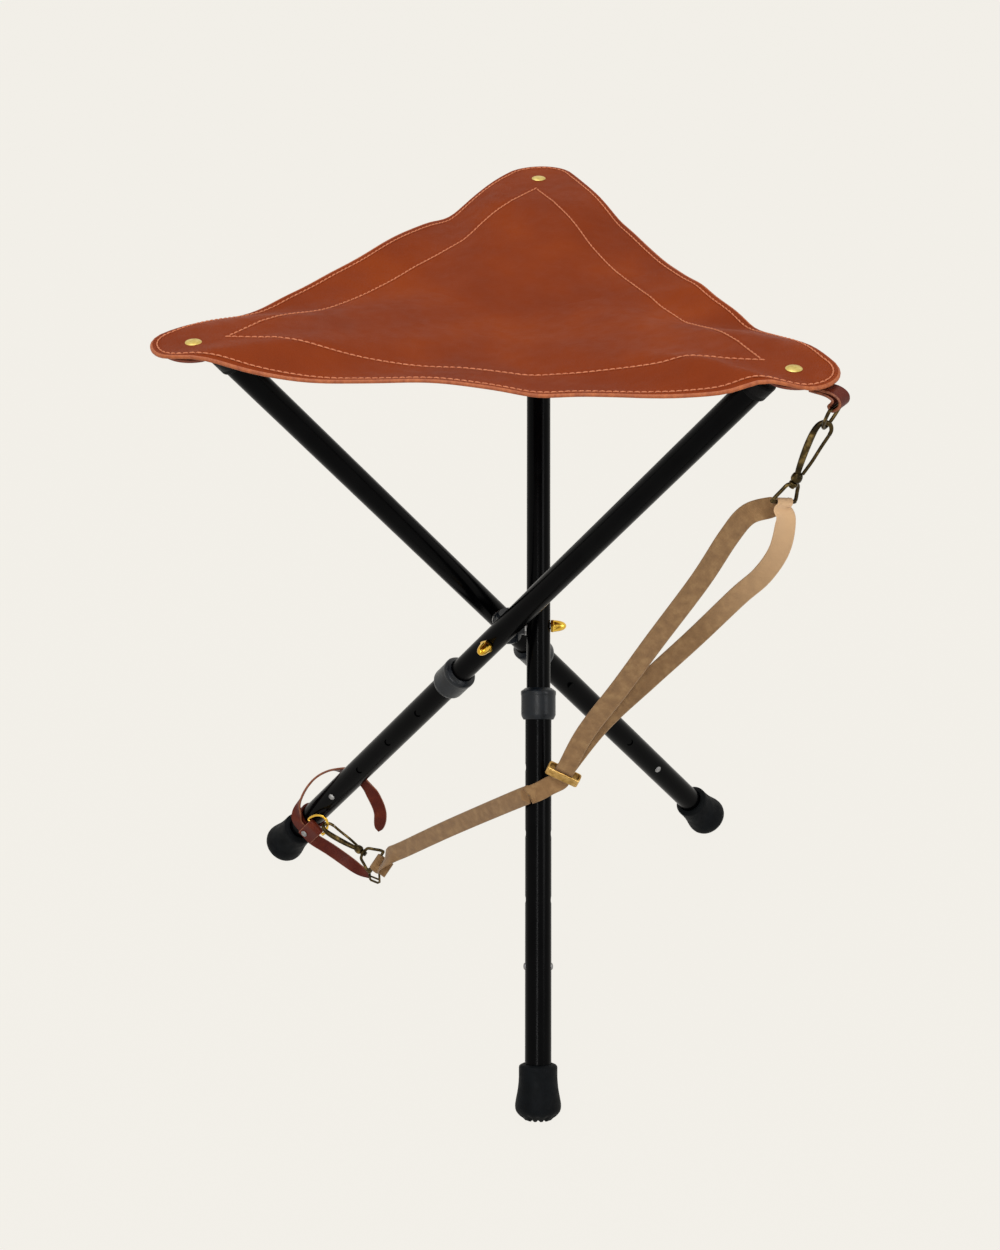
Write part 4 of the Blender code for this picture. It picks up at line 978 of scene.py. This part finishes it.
to_hub = Matrix.Translation(-hub)
eyes = {}
for end, place in hooks.items():
    at = to_hub @ place @ spin(eye_turns[end], "Z")
    turn = at.to_3x3()
    bar_at = at @ Vector((0, 0, -eye_bar - longer[end]))
    eyes[end] = (bar_at, turn @ Vector((1, 0, 0)), turn @ Vector((0, 0, -1)))
lower, lower_bar, lead = eyes["lower"]
upper, upper_bar, _ = eyes["upper"]
wrap = eye_wire + fit_gap + webbing_thick / 2
layer = webbing_thick + fit_gap
bend = [to_hub @ leg_frames["front"] @ Vector(p) for p in leg_bend]
near = towards(lower_bar.cross(lead), facing)
points = [lower + lead * 0.014 - near * 0.0009, lower + lead * 0.006 - near * (wrap - 0.0004),
          lower - near * wrap, lower - lead * wrap, lower + near * wrap, lower + lead * 0.006 + near * wrap]
sides = [lower_bar] * len(points)
run = [lower.lerp(bend[-1], share) + Vector((0, 0, 0.003 * share)) + near * lift
       for share, lift in ((0.10, 0.0035), (0.22, 0.0015), (0.55, 0.0))]
run += bend[::-1] + [slide_at + slide_way * step for step in (-0.0085, -0.0050, 0.0080)]
run += [Vector(p) for p in front_band]
points += run
sides += [None] * len(run)
down = (Vector(front_band[-1]) + Vector(rear_band[0])) / 2 - upper
down = (down - upper_bar * down.dot(upper_bar)).normalized()
outer = towards(upper_bar.cross(down), facing)
over_bar = len(points) + 2
points += [upper - outer * (wrap + 0.0006) + down * 0.0070, upper - outer * wrap, upper - down * wrap,
           upper + outer * wrap, upper + outer * wrap + down * 0.004]
sides += [upper_bar] * 5
rear = [Vector(p) for p in rear_band]
for k in range(4, len(rear)):
    rear[k] -= slide_up * layer
rear += [slide_at + slide_way * 0.008 - slide_up * layer, slide_at - slide_way * 0.0035 - slide_up * layer]
points += rear
sides += [None] * len(rear)
pieces = 8
route = through(points, pieces)
known = [side for side in sides for _ in range(pieces)][:len(route)]
across = []
for i in range(len(route)):
    along = way_at(route, i)
    side = known[i] if known[i] is not None else along.cross(facing).normalized()
    across.append(towards(side, across[-1]) if across else side)
reach = 5
even = [sum(across[max(i - reach, 0):i + reach + 1], Vector()).normalized() for i in range(len(across))]

# Painted highlight: the webbing's colour is painted paler over the upper bar and for a way down past it,
# standing in for the light that the band catches there
turned = sum((b - a).length for a, b in zip(route, route[1:pieces * over_bar + 1]))
tree = khaki.node_tree
where = tree.nodes.new("ShaderNodeTexCoord")
split = tree.nodes.new("ShaderNodeSeparateXYZ")
highlight_span = set_sockets(tree.nodes.new("ShaderNodeMapRange"),
                   {"From Min": turned - 0.006, "From Max": turned + 0.150})
highlight_fade = tree.nodes.new("ShaderNodeValToRGB")
for place, value in ((0.06, 1.0), (0.45, 0.6)):
    highlight_fade.color_ramp.elements.new(place).color = (value, value, value, 1)
for element in (highlight_fade.color_ramp.elements[0], highlight_fade.color_ramp.elements[-1]):
    element.color = (0, 0, 0, 1)
painted_highlight_mix = tree.nodes.new("ShaderNodeMix")
painted_highlight_mix.data_type = "RGBA"
base = shader_of(khaki).inputs["Base Color"]
tree.links.new(where.outputs["UV"], split.inputs[0])
tree.links.new(split.outputs["X"], highlight_span.inputs["Value"])
tree.links.new(highlight_span.outputs["Result"], highlight_fade.inputs["Fac"])
tree.links.new(highlight_fade.outputs["Color"], painted_highlight_mix.inputs[0])
tree.links.new(base.links[0].from_socket, painted_highlight_mix.inputs[6])
# The pale colour of the painted highlight, mixed in by the painted highlight's fade along the strap
painted_highlight_mix.inputs[7].default_value = shade(228, 186, 140)
tree.links.new(painted_highlight_mix.outputs[2], base)
strap = flat_strap(route, even, webbing_width, webbing_thick, Matrix.Translation(hub), [khaki])
belt = add_piece("webbing_strap", strap, None, ["webbing"], 50)
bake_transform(belt)

# Slider
# A flat loop of pressed brass, with round corners and rolled rims, that keeps the webbing's
# layers together.
slide_x = slide_way.cross(facing).normalized() * -1
slide_y = slide_way.cross(slide_x)
slide_frame = Matrix.Translation(hub + slide_at - slide_up * (layer / 2))
slide_frame = slide_frame @ axes(slide_x, slide_y, slide_way)
satin_brass = finish("satin_brass", (200, 160, 92), 0.42, 1.0)
blotch(satin_brass, ((160, 124, 66), (200, 160, 92), (222, 186, 120)), 240, (0.3, 0.7))
uneven_gloss(satin_brass, 0.34, 0.55, 400)
grain(satin_brass, 800, 3.0, 0.00006, 0.5)
shape = bmesh.new()
rings = []
for inset, height in ((0.0013, 0.0040), (0.0009, 0.0042), (0.0004, 0.00425), (0.0, 0.0038), (0.0, -0.0038),
                      (0.0004, -0.00425), (0.0009, -0.0042), (0.0013, -0.0040)):
    half_x, half_y = 0.0145 - inset, 0.00445 - inset
    round_off = 0.0022
    ring = []
    for cx, cy, start in ((1, 1, 0), (-1, 1, 90), (-1, -1, 180), (1, -1, 270)):
        for step in range(6):
            turn = radians(start + 18 * step)
            ring.append(shape.verts.new((cx * (half_x - round_off) + round_off * cos(turn),
                                         cy * (half_y - round_off) + round_off * sin(turn), height)))
    rings.append(ring)
skin(shape, rings + rings[:1])
bmesh.ops.recalc_face_normals(shape, faces=shape.faces)
mesh = mesh_from(shape, slide_frame, [satin_brass])
add_piece("slider_loop", mesh, "slider", ["slider"], 40)

# Ankle belt
# A narrow leather belt rests round the left leg above its foot, riveted to a leather keeper.
# Its tab holds the bright ring, its long end curls up behind the leg, and its short end has the buckle.
belt_width = 0.0120
belt_thick = 0.0020
belt_point = 0.016
tab_width = 0.0160
tab_thick = 0.0016
keeper_out = lower_radius + fit_gap + 0.0020
belt_x = keeper_out + fit_gap + belt_thick / 2
middle = -0.343
front = belt_x + 0.0006
left = leg_frames["left"]
outline = [(lower_radius + fit_gap, -0.3362), (keeper_out - 0.0004, -0.3360), (keeper_out, -0.3366),
           (keeper_out, -0.3494), (keeper_out - 0.0004, -0.3500), (lower_radius + fit_gap, -0.3498)]
keeper = turn_profile(outline, left, [strap_leather], 40)
add_piece("keeper_band", keeper, "lower_left", ["belt_keeper"], 50)

belt_points = [(-0.0150, 0.0540, -0.3000), (-0.0155, 0.0430, -0.2810), (-0.0155, 0.0290, -0.2715),
               (-0.0150, 0.0150, -0.2670), (-0.0150, 0.0000, -0.2680), (-0.0130, -0.0110, -0.2745),
               (-0.0070, -0.0190, -0.2800), (0.0010, -0.0235, -0.2930), (0.0070, -0.0220, -0.3100),
               (0.0120, -0.0160, -0.3260), (front, -0.0080, middle + 0.003), (front, 0.0020, middle),
               (front, 0.0110, middle - 0.001), (0.0125, 0.0210, middle - 0.001),
               (0.0078, 0.0350, middle - 0.001), (0.0042, 0.0520, middle), (0.0030, 0.0690, -0.3390),
               (0.0026, 0.0770, -0.3330)]
toward = Vector((0.732, -0.001, 0.682))
pieces = 7
route = through(belt_points, pieces)
across = []
for i, at in enumerate(route):
    along = way_at(route, i)
    knot = i / pieces
    behind = along.cross(Vector((at.x, at.y, 0)).normalized()).normalized()
    edge = (toward - along * toward.dot(along)).normalized()
    if knot < 4.5:
        start, goal, weight = along.cross(toward).normalized(), behind, smooth_share((knot - 2) / 1.5)
    elif knot < 8:
        start, goal, weight = behind, edge, 0.8 * smooth_share((knot - 4.5) / 1.5)
    else:
        start = edge * 0.8 + towards(behind, edge) * 0.2
        goal = along.cross(Vector((1, 0, 0)))
        weight = smooth_share((knot - 8.5) / 1.5)
        faced = smooth_share((knot - 11.5) / 1.5) * (1 - smooth_share((knot - 15) / 1.8))
        goal = goal * (1 - faced) + along.cross(toward) * faced
    goal = towards(goal, start)
    side = (start * (1 - weight) + goal * weight).normalized()
    across.append(towards(side, across[-1]) if across else side)
strap = flat_strap(route, across, belt_width, belt_thick, left, [strap_leather, strap_edge],
                   belt_point)
add_piece("ankle_strap", strap, "lower_left", ["ankle_belt"], 50)

tab_x = front + belt_thick / 2 + fit_gap + tab_thick / 2
turn_out = ring_wire + fit_gap + tab_thick / 2
tab_points = [(tab_x, middle - 0.005), (tab_x, middle + 0.004),
              (belt_bar.x + turn_out + 0.0006, belt_bar.z - 0.002)]
tab_points += [(belt_bar.x + turn_out * cos(a), belt_bar.z + turn_out * sin(a))
               for a in [radians(d) for d in (0, 45, 90, 135, 180)]]
tab_points += [(belt_bar.x - turn_out, belt_bar.z - 0.0020)]
route = through([(x, belt_bar.y, z) for x, z in tab_points], 5)
tab = flat_strap(route, [Vector((0, 1, 0))] * len(route), tab_width, tab_thick, left,
                 [strap_leather, strap_edge])
add_piece("ring_tab_strap", tab, "lower_left", ["ring_tab"], 50)

head = tab_x + tab_thick / 2 + fit_gap
outline = [(0, head + 0.0014), (0.0012, head + 0.0013), (0.0022, head + 0.0010), (0.0030, head + 0.0005),
           (0.0032, head), (0.0015, head), (0.0015, keeper_out + fit_gap), (0, keeper_out + fit_gap)]
rivet = turn_profile(outline, left @ Matrix.Translation((0, 0.0070, middle)) @ along_x,
                     [bare_steel], 32)
add_piece("belt_stud", rivet, "lower_left", ["belt_rivet"])

# Buckle
# A small wire buckle hangs at the belt's short end. Its prong lies across it, on the side
# that faces away from the leg.
buckle_wire = 0.0011
lead = Vector((0, 0.80, 0.60)).normalized()
x_axis = Vector((1, 0, 0))
buckle_at = Vector(belt_points[-1]) + lead * (buckle_wire + fit_gap)
buckle_frame = left @ Matrix.Translation(buckle_at) @ axes(x_axis, lead.cross(x_axis), lead)
half, length = 0.0075, 0.0110
loop = [(0, -half + 0.0010, 0), (0, half - 0.0010, 0), (0, half, 0.0012), (0, half, length - 0.0022),
        (0, half - 0.0022, length), (0, -half + 0.0022, length), (0, -half, length - 0.0022),
        (0, -half, 0.0012)]
ring = bent_wire(loop, [buckle_wire] * len(loop), buckle_frame, [aged_brass], True)
add_piece("buckle_loop", ring, "buckle", ["buckle_frame"], 60)
over = 2 * buckle_wire + fit_gap
tongue = through([(over, 0, 0.0004), (over, 0, 0.006), (over, 0, length + 0.001)], 4)
pin = bent_wire(tongue, [0.8 * buckle_wire] * len(tongue), buckle_frame, [aged_brass])
add_piece("buckle_tongue", pin, "prong", ["buckle_prong"], 50)

low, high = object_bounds()
